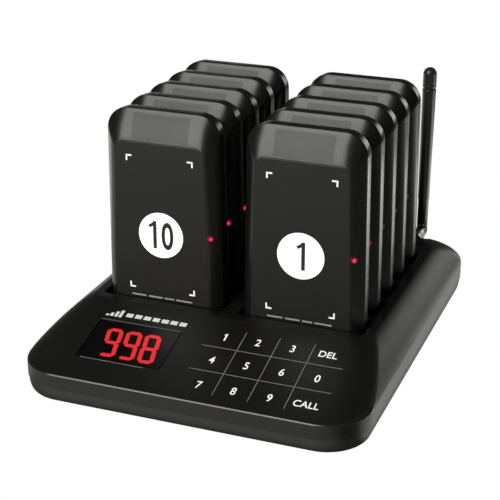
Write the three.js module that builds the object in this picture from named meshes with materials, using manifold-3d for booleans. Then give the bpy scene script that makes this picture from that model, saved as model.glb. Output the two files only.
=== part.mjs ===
// A restaurant guest-paging set: ten rechargeable pagers stand in two rows of slots in a base
// that charges and calls them, with a touch keypad, a three-digit display and a folding antenna.
// Millimetres, +Z up. A person at the keypad looks along +Y, with +X to the right.
// The origin is the bottom centre of the whole set, on the surface that it stands on.

import * as THREE from "three";
import { mergeVertices } from "three/addons/utils/BufferGeometryUtils.js";
import Module from "manifold-3d";

// ---- Driving dimensions ----

// Fit
const GAP = 0.3; // between separate pieces that lie next to each other

// Base housing
const BASE_WIDTH = 152;
const BASE_DEPTH = 190;
const BASE_CORNER = 19.5;
const FOOT_HEIGHT = 1.5;
const SEAM_Z = 8; // parting line of the lower and the upper housing
const CREASE_FRONT_Z = 14.6; // edge between side wall and top, at the front
const CREASE_REAR_Z = 16;
const DECK_Z = 27.4;
const DECK_HALF_WIDTH = 64;
const DECK_REAR_Y = 73;
const DECK_FRONT_CORNER = 8;
const DECK_REAR_CORNER = 13;
const KEYPAD_SLOPE = THREE.MathUtils.degToRad(13.9);
const WALL = 2.2;
const SHOULDER_POWER = 1.35; // 1 is a flat bevel and 2 is a quarter ellipse
const FLOOR_Z = FOOT_HEIGHT + 2;

// Pagers and their slots
const STACK_X = 31.84; // centre of each row of five
const PAGERS_PER_STACK = 5;
const PAGER_PITCH = 20;
const FIRST_FACE_Y = -37.4;
const PAGER_DEPTH = 12.8;
const PAGER_SHOULDER_DEPTH = 5.2;
const PAGER_PARTING = 7.7;
const PAGER_WALL = 1.5;
const PAGER_SHOULDER_POWER = 1.3;
const PAGER_PANEL = { top: 99.9, bottom: 11, halfTop: 20.2, halfBottom: 23.1, topRadius: 4, bottomRadius: 2 };
const PAGER_RIM = { top: 112.7, bottom: 7.8, halfTop: 26, halfBottom: 27.9, topRadius: 10, bottomRadius: 3 };
const SLOT_HALF_LENGTH = 28.3;
const SLOT_FRONT_CLEARANCE = 0.7; // slot edge to pager face
const SLOT_DEPTH = 14.2;
const SLOT_FLOOR_Z = 7.4;
const WELL_WALL = 1.8;
const WELL_BOTTOM_Z = 5.8;
const CONTACT_X = 8; // either side of the stack centre
const CONTACT_W = 9.4; // behind the pager's face

// Display window on the keypad slope, measured from the front crease up the slope
const WINDOW = { left: -52.5, right: -14.3, low: 14.5, high: 39.5 };
const WINDOW_SINK = 0.4;
const WINDOW_THICKNESS = 1.4;

// Antenna
const ANTENNA_X = 52.2;
const ANTENNA_Z = 25;
const ANTENNA_BAY = { halfWidth: 6, floor: 18.6, face: 77.1 };
const SOCKET_BODY_DEPTH = 2.6;
const TAIL_Z = 13.6; // inner end of the socket's centre contact, where the lead is soldered
const HINGE_Y = 91.7;
const WHIP_TIP_Z = 108.6;
const WHIP_CAP_Z = 98.4;
const WHIP_STEP_Z = 41.4;

// Rear panel
const JACK = { x: -30, z: 11.4, bore: 3 };
const SWITCH = { x: -48, z: 11.4, width: 7, height: 3.2, knob: 3.6 };
const PANEL_PARTS_Y = 90.6; // rear face of the jack and switch bodies, inside the wall

// ---- Materials ----

const plastic = (color, roughness) => new THREE.MeshStandardMaterial({ color, roughness, metalness: 0 });
const metal = (color, roughness) => new THREE.MeshStandardMaterial({ color, roughness, metalness: 1 });
const housingBlack = () => plastic(0x1e1d1b, 0.42);
const trayBlack = () => plastic(0x232220, 0.55);
const pagerBlack = () => plastic(0x171716, 0.3);
const boardGreen = () => plastic(0x1d5230, 0.5);
const rubber = () => plastic(0x141414, 0.85);
const nickel = () => metal(0xb9b7b0, 0.28);
const steel = () => metal(0x8d8d8b, 0.35);

// ---- Solids ----

const wasm = await Module();
wasm.setup();

// A closed three.js geometry as a manifold solid, ready to be joined or cut.
function solid(geometry) {
  const bare = geometry.clone();
  bare.deleteAttribute("normal");
  bare.deleteAttribute("uv");
  const merged = mergeVertices(bare, 1e-4);
  return new wasm.Manifold(
    new wasm.Mesh({
      numProp: 3,
      vertProperties: new Float32Array(merged.attributes.position.array),
      triVerts: new Uint32Array(merged.index.array),
    }),
  );
}

// A manifold solid as a three.js geometry.
function geometryOf(shape) {
  const mesh = shape.getMesh();
  const geometry = new THREE.BufferGeometry();
  geometry.setAttribute("position", new THREE.BufferAttribute(mesh.vertProperties, 3));
  geometry.setIndex(new THREE.BufferAttribute(mesh.triVerts, 1));
  geometry.computeVertexNormals();
  return geometry;
}

const joined = (shapes) => shapes.reduce((sum, shape) => sum.add(shape));
const cut = (shape, tools) => tools.reduce((rest, tool) => rest.subtract(tool), shape);

// A block between two corners.
function block([x0, y0, z0], [x1, y1, z1]) {
  const geometry = new THREE.BoxGeometry(x1 - x0, y1 - y0, z1 - z0);
  return solid(geometry.translate((x0 + x1) / 2, (y0 + y1) / 2, (z0 + z1) / 2));
}

// A round bar along an axis ("x", "y" or "z") from one end to the other.
function bar(axis, radius, from, to, centre, sides = 16) {
  const geometry = new THREE.CylinderGeometry(radius, radius, to - from, sides);
  const middle = (from + to) / 2;
  if (axis === "x") geometry.rotateZ(Math.PI / 2).translate(middle, centre[0], centre[1]);
  if (axis === "y") geometry.translate(centre[0], middle, centre[1]);
  if (axis === "z") geometry.rotateX(Math.PI / 2).translate(centre[0], centre[1], middle);
  return solid(geometry);
}

// A turned piece whose profile of [radius, height] points runs up from its foot, along +Z or along +Y.
function turned(profile, sides, axis = "z") {
  const points = profile.map(([radius, height]) => new THREE.Vector2(radius, height));
  const geometry = new THREE.LatheGeometry(points, sides);
  return axis === "z" ? geometry.rotateX(Math.PI / 2) : geometry;
}

// The outline of a polygon with rounded corners: each corner is [x, y, radius, steps], in order round it.
function rounded(corners) {
  const points = [];
  corners.forEach(([x, y, radius, steps], i) => {
    const corner = new THREE.Vector2(x, y);
    const before = corners.at(i - 1);
    const after = corners[(i + 1) % corners.length];
    const arriving = corner.clone().sub(new THREE.Vector2(before[0], before[1])).normalize();
    const leaving = new THREE.Vector2(after[0], after[1]).sub(corner).normalize();
    const turn = Math.atan2(arriving.cross(leaving), arriving.dot(leaving));
    const side = Math.sign(turn);
    const start = corner.clone().addScaledVector(arriving, -radius * Math.tan(Math.abs(turn) / 2));
    const centre = start.clone().add(new THREE.Vector2(-arriving.y, arriving.x).multiplyScalar(side * radius));
    for (let k = 0; k <= steps; k += 1) {
      points.push(start.clone().rotateAround(centre, (turn * k) / steps));
    }
  });
  return points;
}

// A closed skin over rings of points, all with the same count, with a flat cap on the first and the last.
function loft(rings, flat) {
  const count = rings[0].length;
  const index = [];
  for (let r = 0; r + 1 < rings.length; r += 1) {
    for (let i = 0; i < count; i += 1) {
      const a = r * count + i;
      const b = r * count + ((i + 1) % count);
      index.push(a, b, b + count, a, b + count, a + count);
    }
  }
  const caps = [rings[0], rings.at(-1)].map((ring) => THREE.ShapeUtils.triangulateShape(ring.map(flat), []));
  const last = (rings.length - 1) * count;
  caps[0].forEach(([a, b, c]) => index.push(c, b, a));
  caps[1].forEach(([a, b, c]) => index.push(last + a, last + b, last + c));
  const geometry = new THREE.BufferGeometry().setFromPoints(rings.flat());
  geometry.setIndex(index);
  return geometry;
}

// How far a convex shoulder stands in from its foot, as a share of its run, at a share of its rise.
const shoulderInset = (share, power) => 1 - (1 - share ** power) ** (1 / power);

// ---- Base housing ----

const FRONT_Y = -BASE_DEPTH / 2;
const REAR_Y = BASE_DEPTH / 2;
const CORNER_STEPS = 5;

const creaseZ = (y) => THREE.MathUtils.mapLinear(y, FRONT_Y, REAR_Y, CREASE_FRONT_Z, CREASE_REAR_Z);

// One ring of the base's outline, all at one height.
function wallRing(z, inset) {
  const x = BASE_WIDTH / 2 - inset;
  const radius = BASE_CORNER - inset;
  const corners = [
    [-x, FRONT_Y + inset, radius, CORNER_STEPS],
    [x, FRONT_Y + inset, radius, CORNER_STEPS],
    [x, REAR_Y - inset, radius, CORNER_STEPS],
    [-x, REAR_Y - inset, radius, CORNER_STEPS],
  ];
  return rounded(corners).map((p) => new THREE.Vector3(p.x, p.y, z));
}

// One ring of the top, at a share of the way up from the crease (0) to the deck (1), sunk by a wall.
function topRing(share, wall) {
  const climb = Math.tan(KEYPAD_SLOPE);
  const lift = (CREASE_REAR_Z - CREASE_FRONT_Z) / BASE_DEPTH;
  const front = FRONT_Y + ((DECK_Z - CREASE_FRONT_Z) * share) / (climb - lift * (1 - share));
  const inset = shoulderInset(share, SHOULDER_POWER);
  const rear = REAR_Y - (REAR_Y - DECK_REAR_Y) * inset;
  const x = BASE_WIDTH / 2 - (BASE_WIDTH / 2 - DECK_HALF_WIDTH) * inset;
  const frontRadius = THREE.MathUtils.lerp(BASE_CORNER, DECK_FRONT_CORNER, share);
  const rearRadius = THREE.MathUtils.lerp(BASE_CORNER, DECK_REAR_CORNER, share);
  const corners = [
    [-x + wall, front + wall, frontRadius - wall, CORNER_STEPS],
    [x - wall, front + wall, frontRadius - wall, CORNER_STEPS],
    [x - wall, rear - wall, rearRadius - wall, CORNER_STEPS],
    [-x + wall, rear - wall, rearRadius - wall, CORNER_STEPS],
  ];
  return rounded(corners).map((p) => {
    const z = THREE.MathUtils.lerp(creaseZ(p.y), DECK_Z, share);
    return new THREE.Vector3(p.x, p.y, z - wall);
  });
}

// The filled shape of the upper housing, sunk by a wall on all sides, from a given height up.
function upperSolid(wall, bottom) {
  const shares = [0, 0.22, 0.45, 0.68, 0.87, 1];
  const rings = [wallRing(bottom, wall), ...shares.map((share) => topRing(share, wall))];
  return solid(loft(rings, (p) => new THREE.Vector2(p.x, p.y)));
}

// Moves a solid from the keypad's own frame (x, distance up the slope, height off it) to the base's.
const SLOPE_FRAME = new THREE.Matrix4()
  .makeTranslation(0, FRONT_Y, CREASE_FRONT_Z)
  .multiply(new THREE.Matrix4().makeRotationX(KEYPAD_SLOPE));

function slopeBlock([x0, t0, h0], [x1, t1, h1]) {
  const geometry = new THREE.BoxGeometry(x1 - x0, t1 - t0, h1 - h0);
  geometry.translate((x0 + x1) / 2, (t0 + t1) / 2, (h0 + h1) / 2);
  return solid(geometry.applyMatrix4(SLOPE_FRAME));
}

const stackCentres = [-STACK_X, STACK_X];
const pagerPlaces = stackCentres.flatMap((x) =>
  Array.from({ length: PAGERS_PER_STACK }, (_, i) => ({ x, y: FIRST_FACE_Y + i * PAGER_PITCH })),
);
const screwPlaces = [
  [-66, -77],
  [66, -77],
  [-66, 79],
  [66, 79],
];
const footPlaces = [
  [-52, -78],
  [52, -78],
  [-52, 78],
  [52, 78],
];

// The two blocks below the deck that the slots are sunk into.
function wells() {
  const front = FIRST_FACE_Y - SLOT_FRONT_CLEARANCE - WELL_WALL;
  const rear = front + (PAGERS_PER_STACK - 1) * PAGER_PITCH + SLOT_DEPTH + 2 * WELL_WALL;
  const half = SLOT_HALF_LENGTH + WELL_WALL;
  return stackCentres.map((x) => block([x - half, front, WELL_BOTTOM_Z], [x + half, rear, DECK_Z - 1]));
}

const contactPlaces = ({ x, y }) => [-CONTACT_X, CONTACT_X].map((side) => [x + side, y + CONTACT_W]);

// One slot with the two openings in its floor that the charging contacts come up through.
function slotCuts(place) {
  const front = place.y - SLOT_FRONT_CLEARANCE;
  const slot = block(
    [place.x - SLOT_HALF_LENGTH, front, SLOT_FLOOR_Z],
    [place.x + SLOT_HALF_LENGTH, front + SLOT_DEPTH, DECK_Z + 5],
  );
  const holes = contactPlaces(place).map(([x, y]) =>
    block([x - 1.7, y - 1.7, WELL_BOTTOM_Z - 1], [x + 1.7, y + 1.7, SLOT_FLOOR_Z + 1]),
  );
  return [slot, ...holes];
}

// The notch at the back in which the antenna's socket sits, and the thicker walls round it.
function antennaBay(wall) {
  const half = ANTENNA_BAY.halfWidth + wall;
  return block(
    [ANTENNA_X - half, ANTENNA_BAY.face - wall, ANTENNA_BAY.floor - wall],
    [ANTENNA_X + half, REAR_Y + 5, DECK_Z + 5],
  );
}

const SCREW_BOSS_Z = 5.9;

function upperHousing() {
  const outer = upperSolid(0, SEAM_Z + 0.2);
  const shell = outer.subtract(upperSolid(WALL, SEAM_Z - 1));
  const bayWalls = outer.intersect(antennaBay(WALL));
  const underSkin = upperSolid(WALL / 2, FLOOR_Z);
  const bosses = screwPlaces.map(([x, y]) => bar("z", 3.4, SCREW_BOSS_Z, DECK_Z, [x, y], 12).intersect(underSkin));
  const windowHole = slopeBlock([WINDOW.left, WINDOW.low, -6], [WINDOW.right, WINDOW.high, 6]);
  const pilots = screwPlaces.map(([x, y]) => bar("z", 1.3, SCREW_BOSS_Z - 1, 13, [x, y], 8));
  const tailY = ANTENNA_BAY.face + GAP + SOCKET_BODY_DEPTH / 2;
  const socketHole = bar("z", 1.8, ANTENNA_BAY.floor - WALL - 1, ANTENNA_BAY.floor + 1, [ANTENNA_X, tailY], 10);
  const jackHole = bar("y", JACK.bore, REAR_Y - WALL - 1, REAR_Y + 1, [JACK.x, JACK.z], 20);
  const switchHole = block(
    [SWITCH.x - SWITCH.width / 2, REAR_Y - WALL - 1, SWITCH.z - SWITCH.height / 2],
    [SWITCH.x + SWITCH.width / 2, REAR_Y + 1, SWITCH.z + SWITCH.height / 2],
  );
  const body = joined([shell, bayWalls, ...wells(), ...bosses]);
  const cuts = [antennaBay(0), socketHole, windowHole, jackHole, switchHole, ...pilots];
  return geometryOf(cut(body, [...cuts, ...pagerPlaces.flatMap(slotCuts)]));
}

function lowerHousing() {
  const outside = [
    [FOOT_HEIGHT, 2.6],
    [FOOT_HEIGHT + 0.9, 1.3],
    [FOOT_HEIGHT + 2.6, 0.7],
    [SEAM_Z, 0.4],
  ].map(([z, inset]) => wallRing(z, inset));
  const inside = [wallRing(SEAM_Z, 0.4 + WALL), wallRing(FLOOR_Z, 0.9 + WALL)];
  const tray = solid(loft([...outside, ...inside], (p) => new THREE.Vector2(p.x, p.y)));
  const posts = screwPlaces.map(([x, y]) => bar("z", 4.4, FLOOR_Z - 1, SCREW_BOSS_Z - 0.2, [x, y], 12));
  const headPockets = screwPlaces.map(([x, y]) => bar("z", 3.2, FOOT_HEIGHT - 1, 4, [x, y], 12));
  const screwHoles = screwPlaces.map(([x, y]) => bar("z", 1.7, 3, SCREW_BOSS_Z + 1, [x, y], 10));
  const footPockets = footPlaces.map(([x, y]) => bar("z", 7.4, FOOT_HEIGHT - 1, FOOT_HEIGHT + 0.7, [x, y], 16));
  return geometryOf(cut(joined([tray, ...posts]), [...headPockets, ...screwHoles, ...footPockets]));
}

function foot() {
  return turned([[0, 0], [6, 0], [6.8, 0.5], [7, FOOT_HEIGHT + 0.5], [0, FOOT_HEIGHT + 0.5]], 16);
}

function housingScrew() {
  const shank = turned([[0, 2.2], [2.8, 2.2], [2.8, 3.7], [1.1, 3.7], [1.1, 12], [0, 12.6]], 10);
  const drive = [
    block([-1.6, -0.3, 1], [1.6, 0.3, 3]),
    block([-0.3, -1.6, 1], [0.3, 1.6, 3]),
  ];
  return geometryOf(cut(solid(shank), drive));
}

// ---- Display, keypad and boards ----

function displayWindow() {
  const edge = 0.2;
  return geometryOf(
    slopeBlock(
      [WINDOW.left + edge, WINDOW.low + edge, -WINDOW_SINK - WINDOW_THICKNESS],
      [WINDOW.right - edge, WINDOW.high - edge, -WINDOW_SINK],
    ),
  );
}

// The display module: a carrier board with three tall digit blocks behind the window.
function ledDisplay() {
  const top = -WINDOW_SINK - WINDOW_THICKNESS - GAP;
  const carrier = slopeBlock([WINDOW.left + 1, WINDOW.low + 1, top - 5], [WINDOW.right - 1, WINDOW.high - 1, top - 3.8]);
  const pitch = 9.1;
  const middle = (WINDOW.left + WINDOW.right) / 2;
  const digits = [-1, 0, 1].map((i) => {
    const x = middle + i * pitch;
    return slopeBlock([x - 4.2, 16, top - 4], [x + 4.2, 36, top]);
  });
  return geometryOf(joined([carrier, ...digits]));
}

// The board under the keypad slope with one raised copper pad for each of the twelve touch keys.
function touchBoard() {
  const top = -WALL - 1.1;
  const sheet = slopeBlock([-8, 6.5, top - 1.2], [59, 46, top]);
  const pads = [0, 1, 2, 3].flatMap((column) =>
    [0, 1, 2].map((row) => {
      const x = 5.2 + column * 15.3;
      const t = 10.8 + row * 15.2;
      return slopeBlock([x - 5, t - 3.6, top - 0.4], [x + 5, t + 3.6, top + 0.25]);
    }),
  );
  return geometryOf(joined([sheet, ...pads]));
}

const MAIN_BOARD_TOP = 6.8;

// The controller board behind the slots, with its processor, radio can, key buzzer and fixings.
function mainBoard() {
  const board = block([-56, 58.6, MAIN_BOARD_TOP - 1.6], [44, 90.5, MAIN_BOARD_TOP]);
  const low = MAIN_BOARD_TOP - 0.3;
  const processor = block([-14, 64, low], [-2, 76, MAIN_BOARD_TOP + 1.4]);
  const radioCan = block([18, 62, low], [38, 78, MAIN_BOARD_TOP + 3]);
  const buzzer = bar("z", 6, low, MAIN_BOARD_TOP + 6, [6, 82], 14);
  const capacitor = bar("z", 4, low, MAIN_BOARD_TOP + 9, [-40, 68], 12);
  const header = block([-6, 59, low], [6, 61.5, MAIN_BOARD_TOP + 5]);
  return geometryOf(joined([board, processor, radioCan, buzzer, capacitor, header]));
}

// A long board under one row of slots with a pair of contact pins for each pager.
function chargingBoard(stackX) {
  const top = WELL_BOTTOM_Z - 0.4;
  const rear = FIRST_FACE_Y + (PAGERS_PER_STACK - 1) * PAGER_PITCH + PAGER_DEPTH + 2;
  const board = block([stackX - 14, FIRST_FACE_Y, top - 1.4], [stackX + 14, rear, top]);
  const pins = pagerPlaces
    .filter((place) => place.x === stackX)
    .flatMap(contactPlaces)
    .map(([x, y]) => bar("z", 1, top - 0.5, PAGER_RIM.bottom - 0.1, [x, y], 8));
  return geometryOf(joined([board, ...pins]));
}

// A flat cable that stands on edge in the gap between the two rows, from the front to the main board.
function ribbonCable() {
  const front = FIRST_FACE_Y - 12;
  return geometryOf(block([-0.45, front, FLOOR_Z + 1.5], [0.45, 58.2, FLOOR_Z + 12]));
}

// The coaxial lead from the radio can to the socket's centre contact.
function antennaLead() {
  const end = ANTENNA_BAY.face + GAP + SOCKET_BODY_DEPTH / 2;
  const route = new THREE.CatmullRomCurve3([
    new THREE.Vector3(38.4, 70, 8.2),
    new THREE.Vector3(42.5, 70.6, 8.2),
    new THREE.Vector3(48, 74, 8.4),
    new THREE.Vector3(51.6, end - 1.2, 9.6),
    new THREE.Vector3(ANTENNA_X, end, TAIL_Z - 0.4),
  ]);
  const section = new THREE.Shape(new THREE.EllipseCurve(0, 0, 0.7, 0.7).getPoints(8).slice(0, 8));
  return new THREE.ExtrudeGeometry(section, { steps: 14, extrudePath: route, bevelEnabled: false });
}

// ---- Rear panel ----

function dcJack() {
  const y = PANEL_PARTS_Y;
  const body = block([JACK.x - 4.5, y - 10, MAIN_BOARD_TOP + 0.2], [JACK.x + 4.5, y, JACK.z + 3.6]);
  const nose = bar("y", JACK.bore - 0.2, y - 1, REAR_Y - 0.4, [JACK.x, JACK.z], 20);
  const bore = bar("y", 2.3, y - 6, REAR_Y + 1, [JACK.x, JACK.z], 16);
  const pin = bar("y", 0.8, y - 7, REAR_Y - 1.4, [JACK.x, JACK.z], 10);
  return geometryOf(cut(joined([body, nose]), [bore]).add(pin));
}

function switchBody() {
  const half = 6;
  const y = PANEL_PARTS_Y;
  return geometryOf(block([SWITCH.x - half, y - 5, MAIN_BOARD_TOP + 0.2], [SWITCH.x + half, y, SWITCH.z + 2.6]));
}

// The knob starts at the left end of its window, which is the off position.
function switchKnob() {
  const left = SWITCH.x - SWITCH.width / 2 + 0.2;
  const right = left + SWITCH.knob;
  const high = SWITCH.height / 2 - 0.2;
  const stem = block([left, PANEL_PARTS_Y + 0.2, SWITCH.z - high], [right, REAR_Y - 0.9, SWITCH.z + high]);
  const ribs = [0.5, 1.8, 3.1].map((x) =>
    block([left + x - 0.3, REAR_Y - 1, SWITCH.z - high + 0.1], [left + x + 0.3, REAR_Y - 0.3, SWITCH.z + high - 0.1]),
  );
  return geometryOf(joined([stem, ...ribs]));
}

// ---- Antenna ----

// Places a piece turned about +Y on the swivel axis.
const onSwivelAxis = (geometry) => geometry.translate(ANTENNA_X, 0, ANTENNA_Z);

// A right-angle socket: its body stands on the floor of the bay and its threaded barrel points back.
function antennaSocket() {
  const front = ANTENNA_BAY.face + GAP;
  const rear = front + SOCKET_BODY_DEPTH;
  const floor = ANTENNA_BAY.floor + GAP;
  const body = block([ANTENNA_X - 3.1, front, floor], [ANTENNA_X + 3.1, rear, ANTENNA_Z]);
  const crown = bar("y", 3.1, front, rear, [ANTENNA_X, ANTENNA_Z]);
  const barrel = bar("y", 2.35, rear - 1, rear + 5, [ANTENNA_X, ANTENNA_Z]);
  const tail = bar("z", 1.4, TAIL_Z, floor + 1, [ANTENNA_X, (front + rear) / 2], 10);
  return geometryOf(joined([body, crown, barrel, tail]));
}

const NUT_START = ANTENNA_BAY.face + GAP + SOCKET_BODY_DEPTH + 0.2;
const NUT_END = HINGE_Y - 6.1;

// The knurled sleeve screws over the socket and holds the antenna, which turns in it.
function connectorNut() {
  const wall = NUT_END - 0.6;
  const profile = [[0, wall], [2.6, wall], [2.6, NUT_START], [3.2, NUT_START], [3.2, NUT_END], [0, NUT_END]];
  const sleeve = turned(profile, 18, "y");
  return onSwivelAxis(sleeve);
}

const TONGUE_HALF = 1.1;
const CHEEK_HALF = 2.6;
const HINGE_RADIUS = 2.5;

// The elbow turns in the connector and carries the hinge tongue.
function antennaKnuckle() {
  const centre = [ANTENNA_X, ANTENNA_Z];
  const collar = bar("y", 2.9, NUT_END + 0.2, HINGE_Y - HINGE_RADIUS - 0.4, centre, 16);
  const arm = block(
    [ANTENNA_X - TONGUE_HALF, HINGE_Y - HINGE_RADIUS - 1, ANTENNA_Z - 2.1],
    [ANTENNA_X + TONGUE_HALF, HINGE_Y, ANTENNA_Z + 2.1],
  );
  const eye = bar("x", 2.1, ANTENNA_X - TONGUE_HALF, ANTENNA_X + TONGUE_HALF, [HINGE_Y, ANTENNA_Z], 16);
  const hole = bar("x", 0.85, ANTENNA_X - 3, ANTENNA_X + 3, [HINGE_Y, ANTENNA_Z], 12);
  return geometryOf(cut(joined([collar, arm, eye]), [hole]));
}

function hingePin() {
  return geometryOf(bar("x", 0.75, ANTENNA_X - CHEEK_HALF, ANTENNA_X + CHEEK_HALF, [HINGE_Y, ANTENNA_Z], 12));
}

// The whip: a fork at its foot, a slim neck, and a sleeve that widens towards the tip.
function antennaWhip() {
  const profile = [
    [0, ANTENNA_Z + 3.2],
    [2.4, ANTENNA_Z + 3.2],
    [2.4, WHIP_STEP_Z],
    [2.65, WHIP_STEP_Z + 0.4],
    [2.8, 70],
    [3.2, WHIP_CAP_Z - 0.2],
    [0, WHIP_CAP_Z - 0.2],
  ];
  const sleeve = solid(turned(profile, 14)).translate([ANTENNA_X, HINGE_Y, 0]);
  const cheeks = [-1, 1].map((side) => {
    const [near, far] = [ANTENNA_X + side * (TONGUE_HALF + GAP), ANTENNA_X + side * CHEEK_HALF].sort((a, b) => a - b);
    const eye = bar("x", HINGE_RADIUS, near, far, [HINGE_Y, ANTENNA_Z], 16);
    const leg = block([near, HINGE_Y - 2.2, ANTENNA_Z], [far, HINGE_Y + 2.2, ANTENNA_Z + 3.8]);
    return eye.add(leg);
  });
  const hole = bar("x", 0.85, ANTENNA_X - 4, ANTENNA_X + 4, [HINGE_Y, ANTENNA_Z], 12);
  return geometryOf(cut(joined([sleeve, ...cheeks]), [hole]));
}

function antennaCap() {
  const dome = Array.from({ length: 4 }, (_, i) => {
    const angle = ((i + 1) / 4) * (Math.PI / 2);
    return [3.15 * Math.cos(angle), WHIP_TIP_Z - 2.8 + 2.8 * Math.sin(angle)];
  });
  dome.at(-1)[0] = 0;
  const profile = [
    [0, WHIP_CAP_Z],
    [2.9, WHIP_CAP_Z],
    [2.9, WHIP_CAP_Z + 0.5],
    [3.25, WHIP_CAP_Z + 0.5],
    [3.25, WHIP_CAP_Z + 1.7],
    [2.95, WHIP_CAP_Z + 1.9],
    [2.95, WHIP_CAP_Z + 2.2],
    [3.25, WHIP_CAP_Z + 2.4],
    [3.15, WHIP_TIP_Z - 2.8],
    ...dome,
  ];
  return turned(profile, 14).translate(ANTENNA_X, HINGE_Y, 0);
}

// ---- Pagers ----

// A pager's outline at a depth behind its face: share 0 is the flat panel and 1 is the rim.
function pagerRing(depth, share, inset) {
  const size = (key) => THREE.MathUtils.lerp(PAGER_PANEL[key], PAGER_RIM[key], share);
  const top = size("top") - inset;
  const bottom = size("bottom") + inset;
  const halfTop = size("halfTop") - inset;
  const halfBottom = size("halfBottom") - inset;
  const topRadius = Math.max(size("topRadius") - inset, 1);
  const bottomRadius = Math.max(size("bottomRadius") - inset, 0.6);
  const corners = [
    [-halfTop, top, topRadius, 4],
    [halfTop, top, topRadius, 4],
    [halfBottom, bottom, bottomRadius, 2],
    [-halfBottom, bottom, bottomRadius, 2],
  ];
  return rounded(corners).map((p) => new THREE.Vector3(p.x, depth, p.y));
}

// The share of the way from the panel to the rim at a depth on the front shoulder.
function shoulderShare(depth) {
  const left = 1 - depth / PAGER_SHOULDER_DEPTH;
  return (1 - left ** PAGER_SHOULDER_POWER) ** (1 / PAGER_SHOULDER_POWER);
}

const flatPager = (p) => new THREE.Vector2(p.x, -p.z);

function pagerFrontShell() {
  const outside = [0, 1.6, 3.6, PAGER_SHOULDER_DEPTH].map((depth) => pagerRing(depth, shoulderShare(depth), 0));
  const rim = PAGER_PARTING - 0.1;
  const edge = [pagerRing(rim, 1, 0), pagerRing(rim, 1, PAGER_WALL)];
  const inside = [pagerRing(PAGER_SHOULDER_DEPTH + 0.6, 1, PAGER_WALL), pagerRing(PAGER_WALL, 0.15, 0.6)];
  return loft([...outside, ...edge, ...inside], flatPager);
}

function pagerRearShell() {
  const rim = PAGER_PARTING + 0.1;
  const inside = [pagerRing(PAGER_DEPTH - 1.3, 1, 3.4), pagerRing(PAGER_DEPTH - 2.6, 1, PAGER_WALL), pagerRing(rim, 1, PAGER_WALL)];
  const outside = [
    pagerRing(rim, 1, 0),
    pagerRing(PAGER_DEPTH - 2.3, 1, 0),
    pagerRing(PAGER_DEPTH - 0.8, 1, 0.9),
    pagerRing(PAGER_DEPTH, 1, 2.6),
  ];
  const shell = solid(loft([...inside, ...outside], flatPager));
  const openings = [-CONTACT_X, CONTACT_X].map((x) => block([x - 2.3, CONTACT_W - 1.2, 6], [x + 2.3, CONTACT_W + 1.1, 10.5]));
  return geometryOf(cut(shell, openings));
}

const BOARD_FRONT = 6.1;
const BOARD_REAR = 7.2;

const pagerBattery = () => block([-17, BOARD_REAR + GAP, 34], [17, BOARD_REAR + 3.7, 76]);
const pagerMotor = () => bar("y", 5, BOARD_FRONT - GAP - 2.8, BOARD_FRONT - GAP, [10, 82], 14);
const pagerBuzzer = () => bar("y", 6.5, BOARD_FRONT - GAP - 2.6, BOARD_FRONT - GAP, [-9, 82], 14);

// The circuit board with its chips and the two charging pads that come out at the pager's foot.
function pagerCircuit() {
  const board = block([-19, BOARD_FRONT, 12], [19, BOARD_REAR, 92]);
  const receiver = block([-12, BOARD_FRONT - 1.6, 50], [2, BOARD_FRONT + 0.3, 62]);
  const lamp = block([16, BOARD_FRONT - 1.4, 56], [18.8, BOARD_FRONT + 0.3, 60]);
  const pads = [-CONTACT_X, CONTACT_X].flatMap((x) => [
    block([x - 2, CONTACT_W - 0.9, PAGER_RIM.bottom + 0.1], [x + 2, CONTACT_W + 0.8, 13]),
    block([x - 2, BOARD_FRONT + 0.1, 12.2], [x + 2, CONTACT_W + 0.8, 13.6]),
  ]);
  return joined([board, receiver, lamp, ...pads]);
}

// In nine pagers the battery, motor and buzzer are one solid with the board that carries them.
function pagerLoadedCircuit() {
  const bridges = [
    block([-15, BOARD_REAR - 0.3, 40], [15, BOARD_REAR + 1, 70]),
    block([8, BOARD_FRONT - 1, 80], [12, BOARD_FRONT + 0.3, 84]),
    block([-11, BOARD_FRONT - 1, 80], [-7, BOARD_FRONT + 0.3, 84]),
  ];
  return joined([pagerCircuit(), pagerBattery(), pagerMotor(), pagerBuzzer(), ...bridges]);
}

// ---- Assembly ----

const set = new THREE.Group();
set.name = "guest_paging_set";

function place(group, name, geometry, material, position = [0, 0, 0]) {
  const mesh = new THREE.Mesh(geometry, material);
  mesh.name = name;
  mesh.position.set(...position);
  group.add(mesh);
}

function buildBase() {
  const base = new THREE.Group();
  place(base, "lower_housing", lowerHousing(), trayBlack());
  place(base, "upper_housing", upperHousing(), housingBlack());
  place(base, "display_window", displayWindow(), plastic(0x0b0b0c, 0.12));
  place(base, "led_display", ledDisplay(), plastic(0x3a0c10, 0.4));
  place(base, "touch_board", touchBoard(), boardGreen());
  place(base, "main_board", mainBoard(), boardGreen());
  place(base, "charging_board_left", chargingBoard(-STACK_X), boardGreen());
  place(base, "charging_board_right", chargingBoard(STACK_X), boardGreen());
  place(base, "ribbon_cable", ribbonCable(), plastic(0x8c8c88, 0.6));
  place(base, "antenna_lead", antennaLead(), plastic(0x5a3a22, 0.5));
  place(base, "dc_jack", dcJack(), plastic(0x121212, 0.45));
  place(base, "power_switch_body", switchBody(), plastic(0x1a1a1a, 0.5));
  place(base, "power_switch_knob", switchKnob(), plastic(0x161616, 0.5));
  place(base, "antenna_socket", antennaSocket(), nickel());
  footPlaces.forEach(([x, y], i) => place(base, `foot_${i + 1}`, foot(), rubber(), [x, y, 0]));
  screwPlaces.forEach(([x, y], i) => place(base, `housing_screw_${i + 1}`, housingScrew(), steel(), [x, y, 0]));
  set.add(base);
}

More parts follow.
